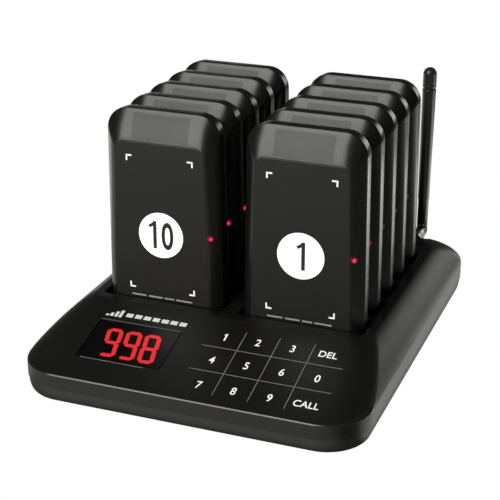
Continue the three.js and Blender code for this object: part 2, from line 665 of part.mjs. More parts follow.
function buildAntenna() {
  const antenna = new THREE.Group();
  place(antenna, "antenna_connector_nut", connectorNut(), nickel());
  place(antenna, "antenna_knuckle", antennaKnuckle(), plastic(0x171717, 0.5));
  place(antenna, "antenna_hinge_pin", hingePin(), steel());
  place(antenna, "antenna_whip", antennaWhip(), plastic(0x1b1b1a, 0.55));
  place(antenna, "antenna_tip_cap", antennaCap(), plastic(0x191919, 0.5));
  set.add(antenna);
}

// Pagers 1 to 5 stand in the right row and 6 to 10 in the left one, both counted as a hand takes them.
function buildPagers() {
  const front = pagerFrontShell();
  const rear = pagerRearShell();
  const circuit = geometryOf(pagerCircuit());
  const loadedCircuit = geometryOf(pagerLoadedCircuit());
  for (let number = 1; number <= 2 * PAGERS_PER_STACK; number += 1) {
    const onRight = number <= PAGERS_PER_STACK;
    const row = onRight ? number - 1 : 2 * PAGERS_PER_STACK - number;
    const pager = new THREE.Group();
    const name = `pager_${String(number).padStart(2, "0")}`;
    pager.position.set(onRight ? STACK_X : -STACK_X, FIRST_FACE_Y + row * PAGER_PITCH, 0);
    place(pager, `${name}_front_shell`, front, pagerBlack());
    place(pager, `${name}_rear_shell`, rear, pagerBlack());
    place(pager, `${name}_circuit`, number === 1 ? circuit : loadedCircuit, boardGreen());
    if (number === 1) {
      place(pager, `${name}_battery`, geometryOf(pagerBattery()), plastic(0x8f9298, 0.4));
      place(pager, `${name}_vibration_motor`, geometryOf(pagerMotor()), steel());
      place(pager, `${name}_buzzer`, geometryOf(pagerBuzzer()), plastic(0x111111, 0.5));
    }
    set.add(pager);
  }
}

buildBase();
buildAntenna();
buildPagers();

export default set;
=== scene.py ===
"""A restaurant guest-paging set: ten pagers stand in a base with a keypad, a display and an antenna.

Sizes are in millimetres and become metres as a mesh is made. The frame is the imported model's: +Z up,
the keypad at -Y, and the origin at the bottom centre of the base.
"""

import logging
import math
from collections.abc import Callable, Iterator, Mapping, Sequence
from contextlib import contextmanager
from dataclasses import dataclass, field
from enum import Enum

import bpy
from mathutils import Euler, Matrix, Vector


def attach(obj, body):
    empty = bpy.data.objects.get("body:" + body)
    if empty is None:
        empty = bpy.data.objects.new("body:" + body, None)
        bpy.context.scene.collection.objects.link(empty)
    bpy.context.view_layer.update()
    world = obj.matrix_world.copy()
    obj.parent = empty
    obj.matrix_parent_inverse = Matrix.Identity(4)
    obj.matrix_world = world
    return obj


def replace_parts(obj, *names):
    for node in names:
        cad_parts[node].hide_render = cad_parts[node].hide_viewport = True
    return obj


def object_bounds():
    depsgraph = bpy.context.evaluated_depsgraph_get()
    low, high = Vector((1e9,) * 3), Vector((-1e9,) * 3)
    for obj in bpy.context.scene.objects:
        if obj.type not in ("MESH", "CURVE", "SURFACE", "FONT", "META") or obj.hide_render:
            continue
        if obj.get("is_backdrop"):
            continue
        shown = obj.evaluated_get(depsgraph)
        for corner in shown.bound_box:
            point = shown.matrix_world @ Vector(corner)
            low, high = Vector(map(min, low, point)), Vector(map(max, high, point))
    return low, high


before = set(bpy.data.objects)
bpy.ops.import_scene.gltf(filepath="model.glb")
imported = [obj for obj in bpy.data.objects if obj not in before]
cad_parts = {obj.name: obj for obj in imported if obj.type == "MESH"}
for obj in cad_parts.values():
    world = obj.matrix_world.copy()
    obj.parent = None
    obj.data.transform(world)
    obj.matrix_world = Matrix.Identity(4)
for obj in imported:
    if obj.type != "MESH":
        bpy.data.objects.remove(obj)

LOG = logging.getLogger("paging_set")
CAD_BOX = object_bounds()
MM = 0.001
PRINT_THICKNESS = 0.03

Piece = bpy.types.Object
Pair = tuple[float, float]
Point = tuple[float, float, float]
Pairs = tuple[Pair, ...]
Colour = tuple[float, float, float]
PointTest = Callable[[Vector], bool]
FaceTest = Callable[[Vector, Vector], bool]


class Kind(Enum):
    """What a selection is made of."""

    VERT = "VERT"
    EDGE = "EDGE"
    FACE = "FACE"


class Solver(Enum):
    """How a boolean modifier works out its cut."""

    FAST = "MANIFOLD"
    EXACT = "EXACT"


# ---- Modelling tools ----


def alone(piece: Piece) -> Piece:
    """Makes a piece the only one selected, and the active one."""
    bpy.ops.object.select_all(action="DESELECT")
    piece.select_set(True)
    bpy.context.view_layer.objects.active = piece
    return piece


@contextmanager
def editing(piece: Piece, kind: Kind = Kind.VERT) -> Iterator[None]:
    """Opens a piece in edit mode with nothing selected, and closes it again.

    Args:
        piece: the mesh object to edit.
        kind: what is selected there.
    """
    alone(piece)
    bpy.ops.object.mode_set(mode="EDIT")
    bpy.ops.mesh.select_mode(type=kind.value)
    bpy.ops.mesh.select_all(action="DESELECT")
    yield
    bpy.ops.object.mode_set(mode="OBJECT")


def pick(piece: Piece, test: PointTest, kind: Kind = Kind.VERT) -> None:
    """Selects in edit mode by place.

    Args:
        piece: the mesh object that is being edited.
        test: says of a point in millimetres whether it belongs to the selection.
        kind: vertices, or edges whose two ends both pass.
    """
    bpy.ops.mesh.select_mode(type=kind.value)
    bpy.ops.mesh.select_all(action="DESELECT")
    bpy.ops.object.mode_set(mode="OBJECT")
    passed = [test(vertex.co / MM) for vertex in piece.data.vertices]
    if kind is Kind.VERT:
        for vertex, chosen in zip(piece.data.vertices, passed):
            vertex.select = chosen
    else:
        for edge in piece.data.edges:
            edge.select = passed[edge.vertices[0]] and passed[edge.vertices[1]]
    bpy.ops.object.mode_set(mode="EDIT")


def pick_faces(piece: Piece, test: FaceTest) -> None:
    """Selects in edit mode the faces whose middle, in millimetres, and normal pass a test."""
    bpy.ops.mesh.select_mode(type=Kind.FACE.value)
    bpy.ops.mesh.select_all(action="DESELECT")
    bpy.ops.object.mode_set(mode="OBJECT")
    for face in piece.data.polygons:
        face.select = test(face.center / MM, face.normal)
    bpy.ops.object.mode_set(mode="EDIT")


def applied(piece: Piece) -> Piece:
    """Makes a selected piece's place, turn and scale part of its mesh."""
    bpy.ops.object.transform_apply(location=True, rotation=True, scale=True)
    return piece


def fresh(name: str, add: Callable[..., object], **settings: object) -> Piece:
    """A new object, with nothing else selected.

    Args:
        name: the object's name.
        add: the operator that adds it.
        settings: the operator's own settings.

    Returns:
        The new object.
    """
    bpy.ops.object.select_all(action="DESELECT")
    add(**settings)
    piece = bpy.context.object
    piece.name = name
    return piece


def placed(piece: Piece, at: Point = (0, 0, 0), turn: Point = (0, 0, 0)) -> Piece:
    """Turns a piece (radians) and moves it (millimetres), and keeps its place in its mesh."""
    alone(piece)
    piece.location = Vector(at) * MM
    piece.rotation_euler = Euler(turn)
    return applied(piece)


def joined(pieces: Sequence[Piece], name: str) -> Piece:
    """Makes one object of several."""
    alone(pieces[0])
    for piece in pieces:
        piece.select_set(True)
    if len(pieces) > 1:
        bpy.ops.object.join()
    pieces[0].name = name
    return pieces[0]


def copied(piece: Piece, name: str, offset: Point = (0, 0, 0)) -> Piece:
    """Copies a piece with a mesh of its own, moved by an offset in millimetres."""
    twin = piece.copy()
    twin.data = piece.data.copy()
    twin.name = name
    bpy.context.collection.objects.link(twin)
    return placed(twin, offset)


def discard(*pieces: Piece) -> None:
    """Removes pieces that were only tools."""
    for piece in pieces:
        bpy.data.objects.remove(piece, do_unlink=True)


def modified(piece: Piece, kind: str, **settings: object) -> Piece:
    """Adds a modifier and applies it.

    Args:
        piece: the mesh object to change.
        kind: the modifier's type.
        settings: the modifier's own properties.
    """
    alone(piece)
    modifier = piece.modifiers.new(kind.title(), kind)
    for key, value in settings.items():
        setattr(modifier, key, value)
    bpy.ops.object.modifier_apply(modifier=modifier.name)
    return piece


def combined(piece: Piece, tool: Piece, operation: str, solver: Solver = Solver.FAST) -> Piece:
    """Cuts a piece by a tool, or adds the tool to it, and discards the tool.

    Args:
        piece: the mesh object to change.
        tool: the closed mesh to cut by or to add.
        operation: DIFFERENCE, UNION or INTERSECT.
        solver: how the cut is worked out.

    Returns:
        The piece.
    """
    modified(piece, "BOOLEAN", operation=operation, solver=solver.value, object=tool)
    discard(tool)
    return piece


def added(piece: Piece, *tools: Piece, solver: Solver = Solver.FAST) -> Piece:
    """Melts closed meshes into a piece, and discards them."""
    return combined(piece, joined(tools, "tools"), "UNION", solver)


def cut(piece: Piece, *tools: Piece, solver: Solver = Solver.FAST) -> Piece:
    """Cuts closed meshes out of a piece, and discards them."""
    return combined(piece, joined(tools, "tools"), "DIFFERENCE", solver)


def cleaned(piece: Piece) -> Piece:
    """Merges doubled vertices and turns all faces outwards."""
    with editing(piece):
        bpy.ops.mesh.select_all(action="SELECT")
        bpy.ops.mesh.remove_doubles(threshold=0.002 * MM)
        bpy.ops.mesh.normals_make_consistent(inside=False)
    return piece


def smoothed(piece: Piece, angle: float = 32.0) -> Piece:
    """Shades a piece smooth, with sharp edges past an angle in degrees and normals led by the large faces."""
    alone(piece)
    bpy.ops.object.shade_smooth_by_angle(angle=math.radians(angle))
    return modified(piece, "WEIGHTED_NORMAL", keep_sharp=True, weight=80)


def block(name: str, low: Point, high: Point) -> Piece:
    """A block between two corners, as the start of a piece or as a cutter."""
    middle = [(a + b) / 2 * MM for a, b in zip(low, high)]
    size = [(b - a) * MM for a, b in zip(low, high)]
    return applied(fresh(name, bpy.ops.mesh.primitive_cube_add, size=1, location=middle, scale=size))


class Axis(Enum):
    """The turn, in radians, that lays an upright bar along an axis."""

    X = (0.0, math.pi / 2, 0.0)
    Y = (-math.pi / 2, 0.0, 0.0)
    Z = (0.0, 0.0, 0.0)


def bar(name: str, axis: Axis, radius: float, span: Pair, centre: Point, sides: int = 24) -> Piece:
    """A round bar.

    Args:
        name: the object's name.
        axis: the direction it runs in.
        radius: its radius.
        span: where it starts and ends, measured along the axis from the centre.
        centre: a point on its axis.
        sides: how many sides it has.

    Returns:
        The new mesh object.
    """
    depth, middle = (span[1] - span[0]) * MM, (0, 0, sum(span) / 2 * MM)
    add = bpy.ops.mesh.primitive_cylinder_add
    piece = fresh(name, add, vertices=sides, radius=radius * MM, depth=depth, location=middle)
    return placed(applied(piece), centre, axis.value)


def turned(name: str, profile: Sequence[Pair], steps: int = 40) -> Piece:
    """A turned piece about +Z, spun from a profile that starts and ends on the axis.

    Args:
        name: the object's name.
        profile: its points in order, each a radius and a height.
        steps: how many steps the spin takes.

    Returns:
        The new mesh object.
    """
    piece = fresh(name, bpy.ops.mesh.primitive_plane_add, size=MM)
    with editing(piece):
        bpy.ops.mesh.select_all(action="SELECT")
        bpy.ops.mesh.merge(type="CENTER")
        radius, height = profile[0]
        bpy.ops.transform.translate(value=(radius * MM, 0, height * MM))
        for (r0, h0), (r1, h1) in zip(profile, profile[1:]):
            move = ((r1 - r0) * MM, 0, (h1 - h0) * MM)
            bpy.ops.mesh.extrude_region_move(TRANSFORM_OT_translate={"value": move})
        bpy.ops.mesh.select_all(action="SELECT")
        bpy.ops.mesh.spin(steps=steps, angle=2 * math.pi, center=(0, 0, 0), axis=(0, 0, 1))
    return cleaned(piece)


def lerp(start: float, end: float, share: float) -> float:
    """The value a share of the way from one to another."""
    return start + (end - start) * share


@dataclass(frozen=True)
class Outline:
    """A four-sided outline, the same on the left as on the right, with round corners."""

    near: float
    far: float
    half_near: float
    half_far: float
    radius_near: float
    radius_far: float

    def shrunk(self, inset: float) -> "Outline":
        """The outline drawn in by the same distance all round."""
        return Outline(
            self.near + inset,
            self.far - inset,
            self.half_near - inset,
            self.half_far - inset,
            max(self.radius_near - inset, 0.15),
            max(self.radius_far - inset, 0.15),
        )

    def toward(self, other: "Outline", share: float) -> "Outline":
        """The outline a share of the way to another one."""
        pairs = zip(vars(self).values(), vars(other).values())
        return Outline(*(lerp(a, b, share) for a, b in pairs))

    def ring(self, steps: int, height: float = 0.0, tilt: float = 0.0) -> Piece:
        """The outline as a loop of edges.

        Args:
            steps: how many edges round each corner has.
            height: how high its plane stands over the origin.
            tilt: how steeply its plane climbs towards the far side, in radians.

        Returns:
            The new mesh object.
        """
        middle = (self.near + self.far) / 2
        loop = fresh("ring", bpy.ops.mesh.primitive_plane_add, size=2 * MM)
        with editing(loop):
            bpy.ops.mesh.select_all(action="SELECT")
            bpy.ops.transform.resize(value=(self.half_near, (self.far - self.near) / 2, 1))
            bpy.ops.transform.translate(value=(0, middle * MM, 0))
            pick(loop, lambda point: point.y > middle)
            narrowed = (self.half_far / self.half_near, 1, 1)
            bpy.ops.transform.resize(value=narrowed, center_override=(0, 0, 0))
            bpy.ops.mesh.bevel(offset=self.radius_far * MM, segments=steps, affect="VERTICES")
            pick(loop, lambda point: point.y < self.near + 0.001)
            bpy.ops.mesh.bevel(offset=self.radius_near * MM, segments=steps, affect="VERTICES")
            bpy.ops.mesh.select_all(action="SELECT")
            bpy.ops.mesh.delete(type="ONLY_FACE")
        return placed(loop, (0, 0, height), (tilt, 0, 0))


def skin(name: str, rings: Sequence[Piece], soft: Mapping[int, float] | None = None) -> Piece:
    """A closed skin bridged over loops of edges, with a flat face on the first and the last.

    Args:
        name: the object's name.
        rings: the loops in order, which are used up.
        soft: the numbers of loops that are rounded off, each with its radius.

    Returns:
        The new mesh object.
    """
    for number, loop in enumerate(rings):
        group = loop.vertex_groups.new(name=f"ring_{number}")
        group.add(range(len(loop.data.vertices)), 1.0, "REPLACE")
    piece = joined(rings, name)

    def select(*numbers: int) -> None:
        """Selects the loops with these numbers."""
        bpy.ops.mesh.select_all(action="DESELECT")
        for number in numbers:
            piece.vertex_groups.active_index = piece.vertex_groups[f"ring_{number}"].index
            bpy.ops.object.vertex_group_select()

    last = len(rings) - 1
    with editing(piece, Kind.EDGE):
        for number in range(last):
            select(number, number + 1)
            bpy.ops.mesh.bridge_edge_loops()
        for number in (0, last):
            select(number)
            bpy.ops.mesh.edge_face_add()
        for number, radius in (soft or {}).items():
            select(number)
            bpy.ops.mesh.bevel(offset=radius * MM, segments=4, affect="EDGES")
        bpy.ops.mesh.select_all(action="SELECT")
        bpy.ops.mesh.normals_make_consistent(inside=False)
    piece.vertex_groups.clear()
    return piece


@dataclass(frozen=True)
class Lettering:
    """A way of setting figures and words, as thin prints that lie flat round the origin.

    The width is a share of the typeface's own, the weight is how much fatter its strokes are than
    they were, as a share of its size, and the gap between figures is a share of their height.
    """

    height: float
    width: float
    weight: float
    stem: float = 0.7
    gap: float = 0.18

    def word(self, text: str) -> Piece:
        """A word in capitals, or a single figure."""
        curve = fresh("print", bpy.ops.object.text_add).data
        curve.body = text
        curve.size = 1.0
        curve.extrude = 0.001
        curve.resolution_u = 6
        curve.offset = self.weight
        bpy.ops.object.convert(target="MESH")
        piece = bpy.context.object
        bpy.ops.object.origin_set(type="ORIGIN_GEOMETRY", center="BOUNDS")
        piece.location = (0, 0, 0)
        tall = self.height * MM / piece.dimensions.y
        piece.scale = (tall * self.width, tall, PRINT_THICKNESS * MM / 0.002)
        return cleaned(applied(piece))

    def one(self) -> Piece:
        """The figure 1, with a slanting flag at its head."""
        half, thick, side = self.height / 2, PRINT_THICKNESS / 2, self.stem * 0.42
        stem = block("one", (-self.stem / 2, -half, -thick), (self.stem / 2, half, thick))
        flag = block("flag", (-self.height * 0.27, -side, -thick), (0, side, thick))
        placed(flag, (self.stem * 0.1, half - self.stem * 0.5, 0), (0, 0, math.radians(33)))
        return cleaned(added(stem, flag, solver=Solver.EXACT))

    def figures(self, text: str) -> Piece:
        """A number, set figure by figure."""
        pieces, edge = [], 0.0
        for character in text:
            piece = self.one() if character == "1" else self.word(character)
            width = piece.dimensions.x / MM
            left = min(vertex.co.x for vertex in piece.data.vertices) / MM
            pieces.append(placed(piece, (edge - left, 0, 0)))
            edge += width + self.height * self.gap
        total = edge - self.height * self.gap
        return placed(joined(pieces, "figures"), (-total / 2, 0, 0))


def stripe(name: str, low: Pair, high: Pair) -> Piece:
    """A thin printed stripe between two corners on the XY plane, with its upper edges eased."""
    piece = block(name, (*low, -PRINT_THICKNESS / 2), (*high, PRINT_THICKNESS / 2))
    with editing(piece, Kind.EDGE):
        pick(piece, lambda point: point.z > 0, Kind.EDGE)
        bpy.ops.mesh.bevel(offset=PRINT_THICKNESS / 4 * MM, segments=1, affect="EDGES")
    return piece


# ---- Shader tools ----


class Signal:
    """A shader value on which Python arithmetic adds Math nodes."""

    def __init__(self, look: "Look", socket: bpy.types.NodeSocket) -> None:
        """Wraps an output socket of a look's nodes."""
        self.look = look
        self.socket = socket

    def math(self, operation: str, first: object, second: object) -> "Signal":
        """A Math node on two values."""
        return self.look.value("ShaderNodeMath", {"operation": operation}, {0: first, 1: second})

    def __add__(self, other: object) -> "Signal":
        """The sum."""
        return self.math("ADD", self, other)

    __radd__ = __add__

    def __mul__(self, other: object) -> "Signal":
        """The product."""
        return self.math("MULTIPLY", self, other)

    __rmul__ = __mul__

    def __sub__(self, other: object) -> "Signal":
        """The difference."""
        return self.math("SUBTRACT", self, other)

    def __rsub__(self, other: object) -> "Signal":
        """The difference the other way round."""
        return self.math("SUBTRACT", other, self)

    def __gt__(self, other: object) -> "Signal":
        """1 where the value is greater, and 0 elsewhere."""
        return self.math("GREATER_THAN", self, other)


class Look:
    """A material, or the studio's surround, in the making. Its nodes are added one by one."""

    def __init__(self, name: str, world: bpy.types.World | None = None) -> None:
        """Starts without nodes, on a new material or on the world that is given."""
        self.owner = world or bpy.data.materials.new(name)
        self.owner.use_nodes = True
        self.tree = self.owner.node_tree
        self.tree.nodes.clear()

    def node(
        self,
        kind: str,
        settings: Mapping[str, object] | None = None,
        sockets: Mapping[str | int, object] | None = None,
    ) -> bpy.types.Node:
        """Adds a node.

        Args:
            kind: the node's type.
            settings: its own properties, which are set first; "stops" are a colour ramp's.
            sockets: a value or a link for each input named or numbered.

        Returns:
            The node.
        """
        made = self.tree.nodes.new(kind)
        for key, value in (settings or {}).items():
            if key == "stops":
                elements = made.color_ramp.elements
                for index, (position, level) in enumerate(value):
                    stop = elements[index] if index < 2 else elements.new(position)
                    stop.position = position
                    stop.color = (level, level, level, 1)
            else:
                setattr(made, key, value)
        for key, value in (sockets or {}).items():
            target = made.inputs[key]
            if isinstance(value, Signal):
                self.tree.links.new(value.socket, target)
            elif isinstance(value, bpy.types.NodeSocket):
                self.tree.links.new(value, target)
            elif isinstance(value, tuple) and len(value) == 3 and target.type == "RGBA":
                target.default_value = (*value, 1)
            else:
                target.default_value = value
        return made

    def value(
        self,
        kind: str,
        settings: Mapping[str, object] | None = None,
        sockets: Mapping[str | int, object] | None = None,
        output: str | int = 0,
    ) -> Signal:
        """Adds a node and gives one of its outputs as a value."""
        return Signal(self, self.node(kind, settings, sockets).outputs[output])

    def place(self, stretch: Point = (1, 1, 1), turn: Point = (0, 0, 0)) -> Signal:
        """Object coordinates in metres, stretched and turned."""
        raw = self.value("ShaderNodeTexCoord", output="Object")
        return self.value("ShaderNodeMapping", None, {"Vector": raw, "Scale": stretch, "Rotation": turn})

    def noise(self, size: float, detail: float = 2.0, at: Signal | None = None) -> Signal:
        """Noise between 0 and 1 whose spots are about a size in millimetres."""
        sockets = {"Vector": at or self.place(), "Scale": 1 / (size * MM), "Detail": detail}
        return self.value("ShaderNodeTexNoise", None, sockets)

    def ramp(self, factor: Signal, stops: Sequence[Pair]) -> Signal:
        """A value through a ramp of grey levels."""
        return self.value("ShaderNodeValToRGB", {"stops": stops}, {"Fac": factor})

    def tint(self, factor: Signal, first: object, second: object) -> Signal:
        """A mix of two colours."""
        settings = {"data_type": "RGBA", "clamp_factor": True}
        return self.value("ShaderNodeMix", settings, {0: factor, 6: first, 7: second}, 2)

    def bump(self, height: Signal, depth: float) -> Signal:
        """A surface normal from a height, with a depth in millimetres."""
        sockets = {"Height": height, "Distance": depth * MM, "Strength": 1.0}
        return self.value("ShaderNodeBump", None, sockets)

    def surface(self, sockets: Mapping[str, object]) -> bpy.types.Material:
        """Finishes the material with a Principled shader."""
        shader = self.node("ShaderNodeBsdfPrincipled", None, sockets)
        self.node("ShaderNodeOutputMaterial", None, {"Surface": shader.outputs[0]})
        return self.owner


def scaled(colour: Colour, factor: float) -> Colour:
    """A colour made lighter or darker."""
    return tuple(channel * factor for channel in colour)


@dataclass(frozen=True)
class MouldedPlastic:
    """Moulded plastic with the mould's fine grain, faint flow clouds and handling marks in its gloss."""

    name: str
    colour: Colour
    roughness: float
    grain: float = 0.3
    relief: float = 0.006
    clouding: float = 0.05
    specular: float = 0.5

    def material(self) -> bpy.types.Material:
        """Builds the material."""
        look = Look(self.name)
        clouds = look.noise(14, 3)
        grain = look.noise(self.grain, 1)
        rub = look.ramp(look.noise(3.5, 5), [(0.35, 0.0), (0.75, 1.0)])
        gloss_change = (clouds - 0.5) * self.clouding + (rub - 0.4) * (self.clouding * 0.6)
        return look.surface(
            {
                "Base Color": look.tint(clouds, scaled(self.colour, 0.86), scaled(self.colour, 1.14)),
                "Roughness": self.roughness + gloss_change,
                "Normal": look.bump(grain, self.relief),
                "Specular IOR Level": self.specular,
            }
        )


@dataclass(frozen=True)
class PolishedPlastic:
    """High-gloss plastic with hairline scratches, a faint waviness and smudges."""

    name: str
    colour: Colour
    roughness: float
    specular: float = 0.5

    def material(self) -> bpy.types.Material:
        """Builds the material."""
        look = Look(self.name)
        smudge = look.ramp(look.noise(9, 4), [(0.4, 0.0), (0.8, 1.0)])
        hairs = look.noise(0.5, 1, look.place((1, 1, 0.04), (0, 0.4, 0)))
        scratches = look.ramp(hairs, [(0.62, 0.0), (0.7, 1.0)])
        wave = look.noise(6, 1)
        return look.surface(
            {
                "Base Color": look.tint(smudge, self.colour, scaled(self.colour, 1.3)),
                "Roughness": self.roughness + smudge * 0.05 + scratches * 0.03,
                "Normal": look.bump(wave + scratches * 0.02, 0.02),
                "Specular IOR Level": self.specular,
            }
        )


@dataclass(frozen=True)
class Ink:
    """Printed ink with slightly uneven cover; a glow above zero adds a painted glow, so the print emits light
    though it is no lamp.
    """

    name: str
    colour: Colour
    glow: float = 0.0

    def material(self) -> bpy.types.Material:
        """Builds the material."""
        look = Look(self.name)
        cover = look.noise(0.6, 3)
        colour = look.tint(cover, scaled(self.colour, 0.94), self.colour)
        sockets = {"Base Color": colour, "Roughness": 0.55 + cover * 0.1, "Normal": look.bump(cover, 0.003)}
        if self.glow:
            # Painted glow: the ink emits light in its own colour, though it is no lamp.
            sockets |= {"Emission Color": colour, "Emission Strength": self.glow}
        return look.surface(sockets)


@dataclass(frozen=True)
class RedLight:
    """Red light that comes through a coloured diffuser."""

    name: str
    colour: Colour
    strength: float

    def material(self) -> bpy.types.Material:
        """Builds the material."""
        look = Look(self.name)
        mottle = look.noise(1.2, 2)
        return look.surface(
            {
                "Base Color": scaled(self.colour, 0.3),
                "Roughness": 0.35 + mottle * 0.1,
                "Emission Color": look.tint(mottle, scaled(self.colour, 0.9), self.colour),
                "Emission Strength": self.strength,
            }
        )


@dataclass(frozen=True)
class Metal:
    """Plated or bare metal with fine turning marks."""

    name: str
    colour: Colour
    roughness: float
    grain_axis: Point = (0.05, 1.0, 0.05)

    def material(self) -> bpy.types.Material:
        """Builds the material."""
        look = Look(self.name)
        marks = look.noise(0.12, 2, look.place(self.grain_axis))
        tarnish = look.noise(2.5, 3)
        return look.surface(
            {
                "Base Color": look.tint(tarnish, scaled(self.colour, 0.82), self.colour),
                "Metallic": 1.0,
                "Roughness": self.roughness + (marks - 0.5) * 0.08 + tarnish * 0.06,
                "Normal": look.bump(marks, 0.004),
            }
        )


@dataclass(frozen=True)
class CircuitBoard:
    """Green solder mask over copper tracks, with bare tinned spots."""

    name: str
    mask: Colour = (0.012, 0.075, 0.03)
    track: Colour = (0.03, 0.15, 0.06)
    tin: Colour = (0.55, 0.52, 0.46)

    def material(self) -> bpy.types.Material:
        """Builds the material."""
        look = Look(self.name)
        cells = {"Scale": 1 / (2.6 * MM), "Vector": look.place((1, 1, 0.2))}
        borders = {"feature": "DISTANCE_TO_EDGE", "distance": "MANHATTAN"}
        edges = look.value("ShaderNodeTexVoronoi", borders, cells)
        tracks = 1 - (edges > 0.09)
        pads = look.value("ShaderNodeTexVoronoi", {"feature": "F1"}, {**cells, "Scale": 1 / (3.4 * MM)})
        tinned = 1 - (pads > 0.16)
        green = look.tint(tracks, self.mask, self.track)
        return look.surface(
            {
                "Base Color": look.tint(tinned, green, self.tin),
                "Metallic": tinned * 0.9,
                "Roughness": 0.32 + tinned * 0.1 + look.noise(1.5, 3) * 0.12,
                "Normal": look.bump(tracks + tinned, 0.03),
            }
        )


@dataclass(frozen=True)
class Stripes:
    """A striped skin, such as a ribbon cable's conductors or a wrapped battery's fold lines."""

    name: str
    first: Colour
    second: Colour
    pitch: float
    axis: str = "Z"
    roughness: float = 0.5

    def material(self) -> bpy.types.Material:
        """Builds the material."""
        look = Look(self.name)
        settings = {"wave_type": "BANDS", "bands_direction": self.axis, "wave_profile": "SIN"}
        sockets = {"Vector": look.place(), "Scale": 0.314 / (self.pitch * MM)}
        bands = look.value("ShaderNodeTexWave", settings, sockets)
        return look.surface(
            {
                "Base Color": look.tint(bands, self.first, self.second),
                "Roughness": self.roughness + look.noise(2, 3) * 0.12,
                "Normal": look.bump(bands, 0.08),
            }
        )


class Finish(Enum):
    """Every finish of the set, with the record's material slot that it belongs to."""

    HOUSING = (MouldedPlastic("housing_black", (0.0052, 0.005, 0.0046), 0.42, specular=0.42), "housing_plastic")
    # The crease finish is the housing plastic made glossier and lighter: its gloss is a finish, its lighter
    # colour is a painted highlight along the front crease.
    CREASE = (
        MouldedPlastic("housing_crease_gloss_and_painted_highlight", (0.012, 0.012, 0.011), 0.22, specular=0.75),
        "housing_plastic",
    )
    TRAY = (MouldedPlastic("tray_black", (0.014, 0.0137, 0.013), 0.5, relief=0.01), "tray_plastic")
    SHOULDER = (PolishedPlastic("pager_polished_black", (0.006, 0.006, 0.0058), 0.24), "pager_plastic")
    PANEL = (
        MouldedPlastic("pager_matte_panel", (0.0032, 0.0032, 0.003), 0.4, relief=0.004, specular=0.36),
        "pager_plastic",
    )
    SENSOR = (PolishedPlastic("smoked_sensor_window", (0.006, 0.0066, 0.006), 0.28, 0.4), "pager_plastic")
    LENS = (PolishedPlastic("smoked_lens", (0.0012, 0.0012, 0.0013), 0.3, 0.3), "display_lens")
    MODULE = (MouldedPlastic("display_module_plastic", (0.05, 0.02, 0.02), 0.45), "display_module")
    SEGMENT = (RedLight("display_red", (0.7, 0.02, 0.028), 0.95), "display_module")
    LAMP = (RedLight("lamp_red", (0.9, 0.05, 0.12), 1.0), "pager_plastic")
    LAMP_EDGE = (RedLight("lamp_red_edge", (0.5, 0.004, 0.035), 1.0), "pager_plastic")
    LAMP_LENS = (RedLight("lamp_lens_red", (0.055, 0.0, 0.004), 1.0), "pager_plastic")
    # Painted glow: the pager's white corner marks emit light, though they are no lamp.
    WHITE_INK = (Ink("white_ink", (0.86, 0.86, 0.84), 0.25), "pager_plastic")
    RULE_INK = (Ink("rule_grey", (0.34, 0.34, 0.33)), "pager_plastic")
    # Painted glow: the number disc emits light, though it is no lamp.
    DISC = (Ink("number_disc_white_painted_glow", (0.92, 0.92, 0.91), 0.5), "pager_plastic")
    BLACK_INK = (Ink("numeral_black", (0.004, 0.004, 0.004)), "pager_plastic")
    # Painted glow: the keypad legends emit light, though they are no lamp.
    LEGEND = (Ink("legend_white_painted_glow", (0.8, 0.8, 0.78), 0.5), "housing_plastic")
    # This grey is both the keypad's printed grid and the painted highlight along the display window's front
    # edge.
    LINE = (Ink("keypad_line_and_painted_highlight_grey", (0.24, 0.24, 0.235)), "housing_plastic")
    # Painted glow: the silver emblem emits light, though it is no lamp.
    SILVER = (Ink("silver_mark_painted_glow", (0.6, 0.6, 0.58), 0.35), "housing_plastic")
    BOARD = (CircuitBoard("solder_mask"), "circuit_board")
    RIBBON = (Stripes("ribbon_grey", (0.3, 0.3, 0.29), (0.42, 0.42, 0.4), 1.0), "flat_cable")
    LEAD = (Stripes("lead_sheath_brown", (0.09, 0.04, 0.018), (0.12, 0.055, 0.024), 0.6, "X"), "lead_sheath")
    SOCKET = (MouldedPlastic("socket_nylon", (0.012, 0.012, 0.012), 0.48), "socket_plastic")
    KNOB = (MouldedPlastic("knob_black", (0.014, 0.014, 0.014), 0.45), "knob_plastic")
    ANTENNA = (MouldedPlastic("antenna_sleeve", (0.026, 0.026, 0.0245), 0.3, grain=0.5), "antenna_plastic")
    RUBBER = (
        MouldedPlastic("foot_rubber_black", (0.012, 0.012, 0.012), 0.8, grain=0.6, relief=0.02),
        "foot_rubber",
    )
    NICKEL = (Metal("nickel_plate", (0.33, 0.32, 0.3), 0.28), "nickel")
    STEEL = (Metal("steel_bare", (0.5, 0.5, 0.49), 0.32), "steel")
    BATTERY = (
        Stripes("battery_wrap_grey", (0.26, 0.28, 0.31), (0.3, 0.32, 0.36), 9.0, "X", 0.3),
        "battery_wrap",
    )

    def material(self) -> bpy.types.Material:
        """The finish's material, built on first use."""
        return bpy.data.materials.get(self.value[0].name) or self.value[0].material()

    def on(self, piece: Piece) -> Piece:
        """Dresses a whole piece."""
        piece.data.materials.clear()
        piece.data.materials.append(self.material())
        return piece

    def on_faces(self, piece: Piece, test: FaceTest) -> Piece:
        """Dresses the faces of a piece that pass a test."""
        piece.data.materials.append(self.material())
        with editing(piece, Kind.FACE):
            pick_faces(piece, test)
            piece.active_material_index = len(piece.data.materials) - 1
            bpy.ops.object.material_slot_assign()
        return piece

    def on_nodes(self, *names: str) -> list[str]:
        """Dresses CAD nodes that stay as they are.

        Returns:
            Their names.
        """
        for name in names:
            self.on(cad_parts[name])
        return list(names)


# ---- Base ----


